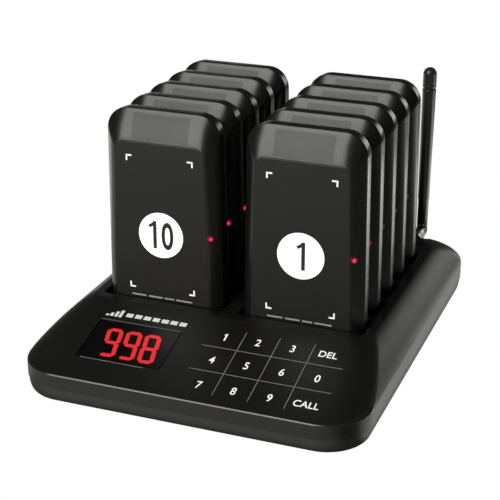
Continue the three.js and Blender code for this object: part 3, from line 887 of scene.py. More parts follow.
@dataclass(frozen=True)
class BaseForm:
    """The outside form of the base, which its two housings share."""

    width: float = 152.0
    depth: float = 190.0
    corner: float = 19.5
    seam: float = 8.0
    crease_front: float = 14.6
    crease_rear: float = 16.0
    deck: float = 27.4
    deck_half_width: float = 64.0
    deck_rear: float = 73.0
    deck_front_corner: float = 8.0
    deck_rear_corner: float = 13.0
    slope: float = math.radians(13.9)
    shoulder_power: float = 1.35

    def wall_outline(self, inset: float) -> Outline:
        """The footprint, drawn in by a distance."""
        half, radius = self.width / 2, self.corner
        return Outline(-self.depth / 2, self.depth / 2, half, half, radius, radius).shrunk(inset)

    def top_outline(self, share: float) -> Outline:
        """The outline of the top, a share of the way up from the crease to the deck."""
        climb = math.tan(self.slope)
        front = (self.deck - self.crease_front) * share / (climb - self.lift * (1 - share)) - self.depth / 2
        inset = 1 - (1 - share**self.shoulder_power) ** (1 / self.shoulder_power)
        rear = lerp(self.depth / 2, self.deck_rear, inset)
        half = lerp(self.width / 2, self.deck_half_width, inset)
        front_radius = lerp(self.corner, self.deck_front_corner, share)
        rear_radius = lerp(self.corner, self.deck_rear_corner, share)
        return Outline(front, rear, half, half, front_radius, rear_radius)

    @property
    def lift(self) -> float:
        """How much the crease climbs towards the rear, per unit of depth."""
        return (self.crease_rear - self.crease_front) / self.depth

    def solid(self, name: str, wall: float, bottom: float, steps: int, levels: int) -> Piece:
        """The filled form from a height up, sunk by a wall on all sides.

        Args:
            name: the object's name.
            wall: how far it is sunk below the outside.
            bottom: the height of its flat underside.
            steps: edges round each corner.
            levels: loops from the crease to the deck.

        Returns:
            The new mesh object.
        """
        rings = [self.wall_outline(wall).ring(steps, bottom)]
        for level in range(levels + 1):
            angle = math.pi / 2 * (level + 1) / (levels + 1) if level else 0.0
            share = min(math.sin(angle) ** (2 / self.shoulder_power), 1.0)
            height = lerp((self.crease_front + self.crease_rear) / 2, self.deck, share) - wall
            tilt = math.atan(self.lift * (1 - share))
            rings.append(self.top_outline(share).shrunk(wall).ring(steps, height, tilt))
        if wall:
            return skin(name, rings)
        rings.append(self.top_outline(1.0).shrunk(1.2).ring(steps, self.deck))
        return skin(name, rings, {1: 0.6})

    def on_slope(self, piece: Piece, x: float, up: float, height: float = 0.0) -> Piece:
        """Lays a flat piece on the keypad slope, at a distance up from the front crease."""
        rise = Vector((0, math.cos(self.slope), math.sin(self.slope)))
        normal = Vector((0, -math.sin(self.slope), math.cos(self.slope)))
        at = Vector((x, -self.depth / 2, self.crease_front)) + rise * up + normal * height
        return placed(piece, tuple(at), (self.slope, 0, 0))


FORM = BaseForm()


@dataclass(frozen=True)
class Places:
    """Where the pagers, screws, feet, display window and antenna are."""

    stack_x: float = 31.84
    per_stack: int = 5
    pitch: float = 20.0
    first_face: float = -37.4
    contact_x: float = 8.0
    window_x: float = -33.4
    window_up: float = 27.0
    antenna_x: float = 52.2
    screws: Pairs = ((-66, -77), (66, -77), (-66, 79), (66, 79))
    feet: Pairs = ((-52, -78), (52, -78), (-52, 78), (52, 78))

    def pagers(self) -> Iterator[tuple[int, float, float]]:
        """The number, centre x and face y of each pager.

        Numbers 1 to 5 go back on the right, and 10 to 6 on the left.
        """
        for number in range(1, 2 * self.per_stack + 1):
            on_right = number <= self.per_stack
            row = number - 1 if on_right else 2 * self.per_stack - number
            x = self.stack_x if on_right else -self.stack_x
            yield number, x, self.first_face + row * self.pitch


PLACES = Places()


@dataclass
class UpperHousing:
    """The top moulding of the base with its ten slots, the display opening and the antenna bay."""

    wall: float = 2.2
    slot_half: float = 28.3
    slot_clearance: float = 0.7
    slot_depth: float = 14.2
    slot_floor: float = 7.4
    slot_corner: float = 1.2
    lip: float = 0.55
    well_wall: float = 1.8
    well_bottom: float = 5.8
    contact_behind: float = 9.4
    contact_half: float = 1.7
    window: Outline = Outline(-12.5, 12.5, 19.1, 19.1, 0.8, 0.8)
    bay: Outline = Outline(77.1, 100.0, 6.0, 6.0, 1.6, 1.6)
    bay_floor: float = 18.6
    tail_radius: float = 1.8
    tail_behind: float = 1.6
    jack: Point = (-30.0, 95.0, 11.4)
    jack_radius: float = 3.0
    switch: Point = (-48.0, 95.0, 11.4)
    switch_half: Pair = (3.5, 1.6)
    rear_cut: float = 3.2
    boss_radius: float = 3.4
    boss_low: float = 5.9
    boss_tops: Pair = (15.5, 19.0)
    pilot_radius: float = 1.3
    pilot_span: Pair = (4.9, 13.0)

    def flared(self, name: str, outline: Outline, floor: float, top: float, steps: int) -> Piece:
        """A cutter that leaves a rounded lip at a surface.

        Args:
            name: the object's name.
            outline: the opening's outline below the lip.
            floor: the height of the cutter's flat underside.
            top: the height of the surface.
            steps: edges round each corner.

        Returns:
            The new mesh object.
        """
        rings = [outline.ring(steps, floor), outline.ring(steps, top - self.lip)]
        for angle in (22.5, 45.0, 67.5, 90.0):
            turn = math.radians(angle)
            flare = self.lip * (1 - math.cos(turn))
            rings.append(outline.shrunk(-flare).ring(steps, top - self.lip * (1 - math.sin(turn))))
        rings.append(outline.shrunk(-self.lip).ring(steps, top + 6))
        return skin(name, rings)

    def slot_cutters(self) -> list[Piece]:
        """The ten slots, modelled once and copied."""
        half = self.slot_half
        outline = Outline(0, self.slot_depth, half, half, self.slot_corner, self.slot_corner)
        slot = self.flared("slot_cutter", outline, self.slot_floor, FORM.deck, 4)
        cutters = [copied(slot, "slot", (x, y - self.slot_clearance, 0)) for _, x, y in PLACES.pagers()]
        discard(slot)
        return cutters

    def small_holes(self) -> list[Piece]:
        """The openings for the charging contacts, the screws' pilots and the socket's tail."""
        cutters, half = [], self.contact_half
        for _, x, y in PLACES.pagers():
            for side in (-PLACES.contact_x, PLACES.contact_x):
                low = (x + side - half, y + self.contact_behind - half, self.well_bottom - 1)
                high = (x + side + half, y + self.contact_behind + half, self.slot_floor + 1)
                cutters.append(block("contact_opening", low, high))
        for x, y in PLACES.screws:
            cutters.append(bar("pilot", Axis.Z, self.pilot_radius, self.pilot_span, (x, y, 0), 16))
        foot = (PLACES.antenna_x, self.bay.near + self.tail_behind, 0)
        tail_span = (self.bay_floor - 3.2, self.bay_floor + 1)
        cutters.append(bar("tail_hole", Axis.Z, self.tail_radius, tail_span, foot))
        return cutters

    def large_holes(self) -> list[Piece]:
        """The openings for the display window, the jack and the switch."""
        window = self.flared("window", self.window, -6, 0, 4)
        jack = bar("jack_hole", Axis.Y, self.jack_radius, (-self.rear_cut, 1), self.jack, 32)
        wide, high = self.switch_half
        x, y, z = self.switch
        switch = block("switch_hole", (x - wide, y - self.rear_cut, z - high), (x + wide, y + 1, z + high))
        return [FORM.on_slope(window, PLACES.window_x, PLACES.window_up), jack, switch]

    def bosses(self) -> list[Piece]:
        """The screw bosses: the front ones stop under the keypad slope."""
        front, rear = ((self.boss_low, top) for top in self.boss_tops)
        return [
            bar("boss", Axis.Z, self.boss_radius, front if y < 0 else rear, (x, y, 0))
            for x, y in PLACES.screws
        ]

    def wells(self) -> list[Piece]:
        """The two blocks under the deck that the slots are sunk into."""
        front = PLACES.first_face - self.slot_clearance - self.well_wall
        rear = front + (PLACES.per_stack - 1) * PLACES.pitch + self.slot_depth + 2 * self.well_wall
        half = self.slot_half + self.well_wall
        return [
            block("well", (x - half, front, self.well_bottom), (x + half, rear, FORM.deck - 1))
            for x in (-PLACES.stack_x, PLACES.stack_x)
        ]

    def bay_cutter(self, wall: float) -> Piece:
        """The notch for the antenna's socket, widened by a wall."""
        outline = self.bay.shrunk(-wall)
        rings = [outline.ring(5, self.bay_floor - wall), outline.ring(5, FORM.deck + 5)]
        return placed(skin("bay", rings), (PLACES.antenna_x, 0, 0))

    @staticmethod
    def on_crease(middle: Vector, normal: Vector) -> bool:
        """Whether a face is on the rounded crease between the front wall and the keypad slope."""
        crease = FORM.crease_front + FORM.lift * (middle.y + FORM.depth / 2)
        return middle.y < -70 and abs(middle.z - crease) < 0.8 and 0.1 < normal.z < 0.93

    def build(self) -> Piece:
        """Builds the moulding and puts it in the CAD housing's place."""
        shell = FORM.solid("upper_housing_moulding", 0.0, FORM.seam + 0.06, 20, 15)
        filled = copied(shell, "bay_walls")
        cut(shell, FORM.solid("hollow", self.wall, FORM.seam - 1, 8, 8))
        added(shell, combined(filled, self.bay_cutter(self.wall), "INTERSECT"))
        added(shell, *self.wells())
        added(shell, *self.bosses())
        holes = self.large_holes()
        cut(shell, *self.slot_cutters(), *holes, self.bay_cutter(0))
        cut(shell, *self.small_holes())
        cleaned(shell)
        Finish.HOUSING.on(shell)
        # Painted highlight: the front crease gets the lighter, glossier copy of the housing finish.
        Finish.CREASE.on_faces(shell, self.on_crease)
        smoothed(shell)
        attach(shell, "base")
        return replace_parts(shell, "upper_housing")


@dataclass
class LowerHousing:
    """The bottom moulding: a shallow tray with screw posts and foot pockets."""

    wall: float = 2.2
    floor: float = 3.5
    levels: Pairs = (
        (1.5, 2.6), (1.62, 2.15), (1.85, 1.75), (2.2, 1.42), (2.8, 1.08),
        (3.6, 0.8), (5.2, 0.5), (7.9, 0.2), (8.0, 0.3),
    )
    underside: float = 0.5
    post_radius: float = 4.4
    post_top: float = 5.7
    head_radius: float = 3.2
    shank_radius: float = 1.7
    foot_radius: float = 7.4
    foot_depth: float = 2.2

    def build(self) -> Piece:
        """Builds the tray and puts it in the CAD tray's place."""
        rings = [FORM.wall_outline(inset).ring(20, height) for height, inset in self.levels]
        rings.append(FORM.wall_outline(0.4 + self.wall).ring(20, FORM.seam))
        rings.append(FORM.wall_outline(0.9 + self.wall).ring(20, self.floor))
        tray = skin("lower_housing_tray", rings)

        def bars(radius: float, low: float, high: float, sides: int, at: Pairs) -> list[Piece]:
            """Upright bars of one size at several places."""
            return [bar("bar", Axis.Z, radius, (low, high), (x, y, 0), sides) for x, y in at]

        added(tray, *bars(self.post_radius, self.floor - 1, self.post_top, 32, PLACES.screws))
        heads = bars(self.head_radius, self.underside, 4, 32, PLACES.screws)
        cut(tray, *heads, *bars(self.foot_radius, self.underside, self.foot_depth, 48, PLACES.feet))
        cut(tray, *bars(self.shank_radius, 3, 7, 24, PLACES.screws))
        smoothed(Finish.TRAY.on(cleaned(tray)))
        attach(tray, "base")
        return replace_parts(tray, "lower_housing")


@dataclass
class Feet:
    """Four round rubber feet with a dished underside."""

    profile: Pairs = (
        (0, 0.3), (2.6, 0.3), (3.1, 0), (5.7, 0), (6.2, 0.12), (6.6, 0.45), (6.85, 0.9), (7.0, 2.0), (0, 2.0)
    )

    def build(self) -> list[Piece]:
        """Builds one foot and copies it to its four places."""
        foot = smoothed(Finish.RUBBER.on(turned("foot", self.profile)))
        feet = []
        for number, (x, y) in enumerate(PLACES.feet, 1):
            twin = copied(foot, f"rubber_foot_{number}", (x, y, 0))
            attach(twin, "base")
            feet.append(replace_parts(twin, f"foot_{number}"))
        discard(foot)
        return feet


# ---- Display and keypad ----


@dataclass
class Display:
    """The smoked window, sunk in its opening, and three lit seven-segment figures behind it."""

    window: Outline = Outline(-12.3, 12.3, 18.9, 18.9, 0.6, 0.6)
    sink: float = 0.4
    thickness: float = 1.4
    figures: str = "998"
    height: float = 18.0
    width: float = 7.5
    stroke: float = 1.95
    gap: float = 0.36
    foot_x: tuple[float, ...] = (-39.8, -30.9, -22.1)
    foot_up: float = 16.9
    lean: float = -2.8 / 18
    segments: Mapping[str, str] = field(default_factory=lambda: {"9": "abcdfg", "8": "abcdefg"})

    def lens(self) -> Piece:
        """The window plate."""
        low = -self.sink - self.thickness
        levels = [(low, 0.0), (-self.sink - 0.18, 0.0), (-self.sink - 0.05, 0.06), (-self.sink, 0.2)]
        rings = [self.window.shrunk(inset).ring(4, height) for height, inset in levels]
        plate = FORM.on_slope(skin("display_lens", rings), PLACES.window_x, PLACES.window_up)
        smoothed(Finish.LENS.on(plate))
        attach(plate, "base")
        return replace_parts(plate, "display_window")

    def segment(self, length: float) -> Piece:
        """One bar of a figure with pointed ends, lying along X round the origin."""
        half = self.stroke / 2
        outline = Outline(-half, half, length / 2, length / 2, half - 0.01, half - 0.01)
        rings = [outline.ring(1, -0.01), outline.ring(1, 0.02)]
        return cleaned(skin("segment", rings))

    def figure(self, digit: str) -> Piece:
        """One seven-segment figure that stands on the origin and leans."""
        across = self.width - self.stroke
        rise = (self.height - self.stroke) / 2
        low = self.stroke / 2
        spots = {
            "a": (0.0, low + 2 * rise, False), "g": (0.0, low + rise, False), "d": (0.0, low, False),
            "b": (across / 2, low + 1.5 * rise, True), "c": (across / 2, low + 0.5 * rise, True),
            "e": (-across / 2, low + 0.5 * rise, True), "f": (-across / 2, low + 1.5 * rise, True),
        }
        bars = []
        for letter in self.segments[digit]:
            x, up, upright = spots[letter]
            length = (rise if upright else across) + self.stroke * 0.5 - 2 * self.gap
            piece = placed(self.segment(length), (x, up, 0), (0, 0, math.pi / 2 if upright else 0))
            if upright:
                with editing(piece):
                    for side in (-1, 1):
                        pick(piece, lambda point: (point.y - up) * side > 0)
                        bpy.ops.transform.translate(value=(side * self.lean * length / 2 * MM, 0, 0))
            bars.append(placed(piece, (up * self.lean, 0, 0)))
        return joined(bars, "figure")

    def build(self) -> list[Piece]:
        """Builds the window and the lit figures."""
        figures = [
            FORM.on_slope(self.figure(digit), x, self.foot_up, -self.sink + 0.02)
            for digit, x in zip(self.figures, self.foot_x)
        ]
        lit = Finish.SEGMENT.on(joined(figures, "display_figures"))
        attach(lit, "base")
        return [self.lens(), lit]


@dataclass
class Keypad:
    """The printed legends and grid lines of the touch keys, the printed mark over the display, and a painted
    highlight along the display window's front edge; the legends and the mark have a painted glow.
    """

    height: float = 0.02
    figures: Lettering = Lettering(4.3, 0.82, 0.009)
    words: Lettering = Lettering(3.7, 0.9, 0.011)
    rows: tuple[tuple[float, tuple[tuple[float, str], ...]], ...] = (
        (40.9, ((4.95, "1"), (19.9, "2"), (35.2, "3"), (50.6, "DEL"))),
        (25.9, ((5.0, "4"), (20.2, "5"), (35.6, "6"), (50.8, "0"))),
        (10.1, ((5.5, "7"), (20.6, "8"), (35.9, "9"), (51.3, "CALL"))),
    )
    across: tuple[float, ...] = (33.9, 18.8)
    across_x: Pair = (-2.5, 58.8)
    upright: tuple[float, ...] = (12.9, 28.0, 43.4)
    upright_up: Pair = (5.7, 46.0)
    line: float = 0.33
    meter_at: Pair = (-51.5, 42.0)
    meter_pitch: float = 2.0
    meter_width: float = 1.4
    meter_heights: tuple[float, ...] = (1.1, 2.3, 3.5, 4.7)
    dash_at: Pair = (-42.4, 43.0)
    dash_pitch: float = 4.2
    dash_size: Pair = (3.2, 2.4)
    dashes: int = 7
    rule_low: Pair = (-50.0, 13.65)
    rule_high: Pair = (-21.0, 13.95)

    def legend(self, text: str) -> Piece:
        """One key's figure or word."""
        return self.figures.figures(text) if text.isdigit() else self.words.word(text)

    def legends(self) -> Piece:
        """The figures and words of the twelve keys, in white ink with a painted glow."""
        prints = [
            FORM.on_slope(self.legend(text), x, up, self.height)
            for up, row in self.rows
            for x, text in row
        ]
        return Finish.LEGEND.on(joined(prints, "keypad_legends"))

    def lines(self) -> Piece:
        """The grid between the keys."""
        half = self.line / 2
        low_x, high_x = self.across_x
        low_up, high_up = self.upright_up
        stripes = [stripe("line", (low_x, up - half), (high_x, up + half)) for up in self.across]
        crossings = [up + side * half for up in self.across for side in (-1, 1)]
        edges = sorted([low_up, high_up, *crossings])
        for x in self.upright:
            for start, end in zip(edges[::2], edges[1::2]):
                stripes.append(stripe("line", (x - half, start), (x + half, end)))
        return Finish.LINE.on(FORM.on_slope(joined(stripes, "keypad_lines"), 0, 0, self.height))

    def emblem(self) -> Piece:
        """A plain mark over the display: a small level meter and a broken rule, in silver ink with a painted
        glow.
        """
        stripes = []
        left, up = self.meter_at
        for number, height in enumerate(self.meter_heights):
            x = left + number * self.meter_pitch
            stripes.append(stripe("meter", (x, up), (x + self.meter_width, up + height)))
        left, up = self.dash_at
        wide, high = self.dash_size
        for number in range(self.dashes):
            x = left + number * self.dash_pitch
            stripes.append(stripe("dash", (x, up), (x + wide, up + high)))
        return Finish.SILVER.on(FORM.on_slope(joined(stripes, "plain_emblem"), 0, 0, self.height))

    def window_rule(self) -> Piece:
        """A painted highlight along the front edge of the display window: a grey printed strip where the
        window's edge catches light.
        """
        rule = stripe("window_rule", self.rule_low, self.rule_high)
        # Painted highlight: grey ink stands in for light caught on the display window's front edge.
        return Finish.LINE.on(FORM.on_slope(rule, 0, 0, self.height))

    def build(self) -> list[Piece]:
        """Builds every print on the slope, and the painted highlight along the display window."""
        prints = [self.legends(), self.lines(), self.emblem(), self.window_rule()]
        for piece in prints:
            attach(piece, "base")
        return prints


# ---- Pagers ----


@dataclass
class Pager:
    """One pager: a front cover with polished shoulders round a matte panel, a rear cover and prints.

    It is made lying on its back, with X across, Y up its face and Z out of its face, and then stood up.
    """

    panel: Outline = Outline(11.0, 99.9, 23.1, 20.2, 2.0, 4.0)
    rim: Outline = Outline(7.8, 112.7, 27.4, 26.0, 3.0, 10.0)
    shoulder_depth: float = 5.2
    shoulder_power: float = 2.2
    shoulder_curl: float = 0.5
    depth: float = 12.8
    parting: float = 7.7
    wall: float = 1.5
    pad_half: float = 2.3
    pad_up: Pair = (6.0, 10.5)
    pad_z: Pair = (-10.5, -8.2)
    steps: int = 12
    disc_up: float = 58.4
    disc_radius: float = 10.4
    numerals: Lettering = Lettering(12.7, 0.68, 0.02, 1.65)
    mark_x: float = 15.5
    mark_up: Pair = (32.0, 93.7)
    mark_leg: float = 2.7
    mark_stroke: float = 0.75
    rule_x: Pairs = ((-14.8, -7.8), (-6.6, 0.0), (1.0, 5.6), (6.6, 14.2))
    rule_up: Pair = (28.4, 29.1)
    lamp_at: Point = (22.85, 59.7, -0.93)
    lamp_turn: float = math.radians(35)
    sensor_x: Pair = (-12.8, 13.0)
    sensor_share: Pair = (0.05, 0.88)

    def fall(self, share: float) -> float:
        """How far the shoulder lies behind the face, a share of the way out to the rim."""
        return self.shoulder_depth * lerp(share, share**self.shoulder_power, self.shoulder_curl)

    def ring(self, depth: float, share: float = 1.0, inset: float = 0.0) -> Piece:
        """A loop of the outline at a depth behind the face."""
        return self.panel.toward(self.rim, share).shrunk(inset).ring(self.steps, -depth)

    def front_cover(self) -> Piece:
        """The front shell, with a fine groove round its matte panel."""
        levels = [(0.0, 0.0, 0.62), (0.05, 0.0, 0.5), (0.2, 0.0, 0.44), (0.2, 0.0, 0.2), (0.05, 0.0, 0.04)]
        for step in range(1, 13):
            share = step / 12 if step < 12 else 0.985
            levels.append((self.fall(share), share, 0.0))
        levels += [(self.shoulder_depth + 0.12, 0.998, 0.0), (self.shoulder_depth + 0.35, 1.0, 0.0)]
        edge = self.parting - 0.1
        levels += [(edge - 0.3, 1.0, 0.0), (edge - 0.09, 1.0, 0.09), (edge, 1.0, 0.3), (edge, 1.0, self.wall)]
        levels += [(self.shoulder_depth + 0.6, 1.0, self.wall), (self.wall, 0.15, 0.6)]
        cover = skin("front_cover", [self.ring(*level) for level in levels])
        Finish.SHOULDER.on(cover)
        Finish.PANEL.on_faces(cover, lambda middle, normal: middle.z > -0.01 and normal.z > 0.5)
        return smoothed(cover)

    def pad_openings(self) -> list[Piece]:
        """Cutters for the two openings over the charging pads."""
        half, (low, high), (rear, front) = self.pad_half, self.pad_up, self.pad_z
        return [
            block("pad_opening", (x - half, low, rear), (x + half, high, front))
            for x in (-PLACES.contact_x, PLACES.contact_x)
        ]

    def rear_cover(self) -> Piece:
        """The rear shell, with the two openings for its charging pads."""
        edge = self.parting + 0.1
        levels = [(self.depth - 1.3, 3.8), (self.depth - 2.6, self.wall + 0.8), (edge, self.wall + 0.2)]
        levels += [(edge, 0.45), (edge + 0.09, 0.22), (edge + 0.25, 0.15)]
        for step in range(9):
            angle = math.pi / 2 * step / 8
            levels.append((self.depth - 2.2 + 2.2 * math.sin(angle), 0.35 + 2.4 * (1 - math.cos(angle))))
        cover = skin("rear_cover", [self.ring(depth, 1.0, inset) for depth, inset in levels])
        cut(cover, *self.pad_openings())
        return smoothed(Finish.SHOULDER.on(cleaned(cover)))

    def disc(self) -> Piece:
        """The round white label with an eased edge; its ink has a painted glow."""
        edge = self.disc_radius
        profile = [(0, 0.0), (edge, 0.0), (edge, 0.05), (edge - 0.06, 0.08), (0, 0.08)]
        return Finish.DISC.on(placed(turned("disc", profile, 72), (0, self.disc_up, 0)))

    def numeral(self, number: int) -> Piece:
        """The pager's number on its label."""
        return Finish.BLACK_INK.on(placed(self.numerals.figures(str(number)), (0, self.disc_up, 0.09)))

    def marks(self) -> Piece:
        """Four printed corner marks in white ink with a painted glow, with a broken rule under them."""
        stripes = []
        for x in (-self.mark_x, self.mark_x):
            for up in self.mark_up:
                toward_x = -math.copysign(1, x)
                toward_up = 1 if up == self.mark_up[0] else -1
                for leg in ((self.mark_leg, self.mark_stroke), (self.mark_stroke, self.mark_leg)):
                    left, right = sorted((x, x + toward_x * leg[0]))
                    bottom, top = sorted((up, up + toward_up * leg[1]))
                    stripes.append(stripe("mark", (left, bottom), (right, top)))
        low, high = self.rule_up
        stripes += [stripe("mark", (start, low), (end, high)) for start, end in self.rule_x]
        marks = Finish.WHITE_INK.on(placed(joined(stripes, "marks"), (0, 0, 0.02)))
        return Finish.RULE_INK.on_faces(marks, lambda middle, normal: middle.y < high + 0.1)

    def lamp(self) -> Piece:
        """The small domed lamp on the right shoulder, brightest in its middle."""
        foot = [(0, -0.6), (1.7, -0.6), (1.7, 0.04)]
        dome = turned("lamp", [*foot, (1.55, 0.14), (1.05, 0.27), (0.6, 0.36), (0.3, 0.4), (0, 0.41)], 24)
        Finish.LAMP_LENS.on(dome)
        for finish, radius in ((Finish.LAMP_EDGE, 1.0), (Finish.LAMP, 0.6)):
            finish.on_faces(dome, lambda middle, normal: middle.z > 0 and middle.xy.length < radius)
        return smoothed(placed(dome, self.lamp_at, (0, self.lamp_turn, 0)))

    def sensor_window(self) -> Piece:
        """The smoked window that is let into the top shoulder and follows its fall."""
        low, high = (lerp(self.panel.far, self.rim.far, share) for share in self.sensor_share)
        left, right = self.sensor_x
        add = bpy.ops.mesh.primitive_grid_add
        plate = fresh("sensor_window", add, x_subdivisions=1, y_subdivisions=8, size=MM)
        plate.scale = (right - left, high - low, 1)
        placed(plate, ((left + right) / 2, (low + high) / 2, 0))
        with editing(plate):
            for row in range(9):
                up = lerp(low, high, row / 8)
                share = (up - self.panel.far) / (self.rim.far - self.panel.far)
                pick(plate, lambda point: abs(point.y - up) < 0.1 and abs(point.z) < 0.001)
                bpy.ops.transform.translate(value=(0, 0, -self.fall(share) * MM))
        modified(plate, "SOLIDIFY", thickness=0.1 * MM, offset=0.0)
        return smoothed(Finish.SENSOR.on(cleaned(plate)))


@dataclass
class PagerSet:
    """The ten pagers, all copies of one."""

    pager: Pager = field(default_factory=Pager)

    def build(self) -> list[Piece]:
        """Builds one pager's pieces and copies them to each place, with a number of its own."""
        stand = (math.pi / 2, 0, 0)
        pager = self.pager
        parts = {
            "front_cover": pager.front_cover(), "rear_cover": pager.rear_cover(), "disc": pager.disc(),
            "marks": pager.marks(), "lamp": pager.lamp(), "sensor_window": pager.sensor_window(),
        }
        for part in parts.values():
            placed(part, (0, 0, 0), stand)
        pieces = []
        for number, x, y in PLACES.pagers():
            name = f"pager_{number:02d}"
            own = {key: copied(part, f"{name}_{key}", (x, y, 0)) for key, part in parts.items()}
            numeral = placed(pager.numeral(number), (x, y, 0), stand)
            numeral.name = f"{name}_numeral"
            for piece in (*own.values(), numeral):
                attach(piece, name)
                pieces.append(piece)
            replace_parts(own["front_cover"], f"{name}_front_shell")
            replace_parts(own["rear_cover"], f"{name}_rear_shell")
        discard(*parts.values())
        return pieces


# ---- Antenna ----


@dataclass
class Antenna:
    """The folding antenna: a socket in the base, a turning nut and elbow, and a hinged whip."""

    x: float = PLACES.antenna_x
    z: float = 25.0
    socket_front: float = 77.4
    socket_depth: float = 2.6
    hinge_y: float = 91.7
    hinge_radius: float = 2.1
    pin_radius: float = 0.85
    tongue_half: float = 1.1
    cheek_half: float = 2.2
    leg_half: float = 1.9
    gap: float = 0.3
    socket_half: float = 3.1
    tip: Pair = (98.4, 108.6)
    tip_radius: float = 3.25

    @property
    def hinge(self) -> Point:
        """The middle of the hinge pin."""
        return (self.x, self.hinge_y, self.z)

    def on_axis(self, piece: Piece) -> Piece:
        """Lays a turned piece along +Y on the swivel axis."""
        return placed(piece, (self.x, 0, self.z), Axis.Y.value)

    def socket(self) -> Piece:
        """The right-angle socket with its threaded barrel."""
        front, rear, half = self.socket_front, self.socket_front + self.socket_depth, self.socket_half
        body = block("antenna_socket_body", (self.x - half, front, 18.9), (self.x + half, rear, self.z))
        with editing(body, Kind.EDGE):
            pick(body, lambda point: point.z < self.z - 1, Kind.EDGE)
            bpy.ops.mesh.bevel(offset=0.2 * MM, segments=2, affect="EDGES")
        crown = bar("crown", Axis.Y, half, (front, rear), (self.x, 0, self.z), 40)
        added(body, crown, solver=Solver.EXACT)
        threads = [(0, rear - 1.0)]
        for turn in range(11):
            threads += [(2.15, rear - 0.9 + turn * 0.5), (2.35, rear - 0.65 + turn * 0.5)]
        threads += [(2.1, rear + 4.9), (1.8, rear + 5.0), (0, rear + 5.0)]
        added(body, self.on_axis(turned("barrel", threads, 32)), solver=Solver.EXACT)
        tail = bar("tail", Axis.Z, 1.4, (13.6, 19.9), (self.x, (front + rear) / 2, 0))
        added(body, tail, solver=Solver.EXACT)
        smoothed(Finish.NICKEL.on(cleaned(body)))
        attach(body, "base")
        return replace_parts(body, "antenna_socket")

    def nut(self) -> Piece:
        """The sleeve nut: a knurled collar and a polished barrel."""
        start, end = self.socket_front + self.socket_depth + 0.2, self.hinge_y - 6.1
        profile = [
            (0, end - 0.6), (2.6, end - 0.6), (2.6, start + 0.15), (2.75, start), (3.0, start),
            (3.2, start + 0.2), (3.2, start + 1.4), (2.95, start + 1.5), (2.95, start + 1.7),
            (3.15, start + 1.8), (3.15, end - 0.3), (2.95, end), (0, end),
        ]
        nut = turned("antenna_nut", profile, 48)
        with editing(nut):
            def ridge(point: Vector) -> bool:
                """Whether a point lies in every other groove of the knurl."""
                on_collar = point.z < start + 1.45 and math.hypot(point.x, point.y) > 3.1
                return on_collar and round(math.degrees(math.atan2(point.y, point.x)) / 7.5) % 2 == 0

            pick(nut, ridge)
            bpy.ops.transform.resize(value=(0.955, 0.955, 1), center_override=(0, 0, 0))
        smoothed(Finish.NICKEL.on(self.on_axis(nut)), 40)
        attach(nut, "antenna_swivel")
        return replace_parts(nut, "antenna_connector_nut")

    def knuckle(self) -> Piece:
        """The elbow with the hinge's tongue."""
        start, end = self.hinge_y - 5.9, self.hinge_y - 2.9
        collar = [(0, start), (2.6, start), (2.9, start + 0.25), (2.9, end - 0.35), (2.6, end), (0, end)]
        knuckle = self.on_axis(turned("antenna_elbow", collar, 40))
        half, eye = self.tongue_half, self.hinge_radius
        x, y, z = self.hinge
        arm = block("arm", (x - half, end - 0.6, z - eye), (x + half, y, z + eye))
        added(knuckle, arm, solver=Solver.EXACT)
        added(knuckle, bar("eye", Axis.X, eye, (-half, half), self.hinge, 40), solver=Solver.EXACT)
        cut(knuckle, bar("pin_hole", Axis.X, self.pin_radius, (-3, 3), self.hinge), solver=Solver.EXACT)
        smoothed(Finish.ANTENNA.on(cleaned(knuckle)))
        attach(knuckle, "antenna_swivel")
        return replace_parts(knuckle, "antenna_knuckle")

    def whip(self) -> Piece:
        """The whip: a fork at the foot, a slim neck and a sleeve that widens upwards."""
        profile = [
            (0, 28.2), (2.4, 28.2), (2.62, 28.4), (2.62, 41.1), (2.68, 41.35), (2.8, 41.6), (2.85, 50.0),
            (2.98, 64.0), (3.15, 78.0), (3.25, 92.0), (3.3, 97.7), (3.15, 98.0), (2.95, 98.2), (0, 98.2),
        ]
        whip = placed(turned("antenna_sleeve", profile, 40), (self.x, self.hinge_y, 0))
        x, y, z = self.hinge
        cheek, side, near = self.cheek_half, self.leg_half, self.tongue_half + self.gap
        fork = bar("fork", Axis.X, self.hinge_radius, (-cheek, cheek), self.hinge, 40)
        leg = block("leg", (x - cheek, y - side, z), (x + cheek, y + side, z + 3.8))
        added(fork, leg, solver=Solver.EXACT)
        cut(fork, block("slit", (x - near, 80, 20), (x + near, 96, z + 3.19)), solver=Solver.EXACT)
        added(whip, fork, solver=Solver.EXACT)
        cut(whip, bar("pin_hole", Axis.X, self.pin_radius, (-4, 4), self.hinge), solver=Solver.EXACT)
        smoothed(Finish.ANTENNA.on(cleaned(whip)))
        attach(whip, "antenna_whip")
        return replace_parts(whip, "antenna_whip")

    def cap(self) -> Piece:
        """The rounded tip with two grooves round its foot."""
        low, high = self.tip
        profile = [
            (0, low), (3.0, low), (3.0, low + 0.45), (3.25, low + 0.55), (3.3, low + 0.7), (3.3, low + 1.6),
            (3.2, low + 1.75), (3.05, low + 1.85), (3.05, low + 2.2), (3.25, low + 2.35), (3.3, low + 2.5),
        ]
        for step in range(9):
            angle = math.pi / 2 * step / 8
            radius = self.tip_radius * math.cos(angle) if step < 8 else 0.0
            profile.append((radius, high - 3.1 + 3.1 * math.sin(angle)))
        cap = placed(turned("antenna_tip", profile, 40), (self.x, self.hinge_y, 0))
        smoothed(Finish.ANTENNA.on(cap))
        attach(cap, "antenna_whip")
        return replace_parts(cap, "antenna_tip_cap")

    def build(self) -> list[Piece]:
        """Builds the antenna from its socket to its tip."""
        return [self.socket(), self.nut(), self.knuckle(), self.whip(), self.cap()]


# ---- Parts that keep their CAD shape ----


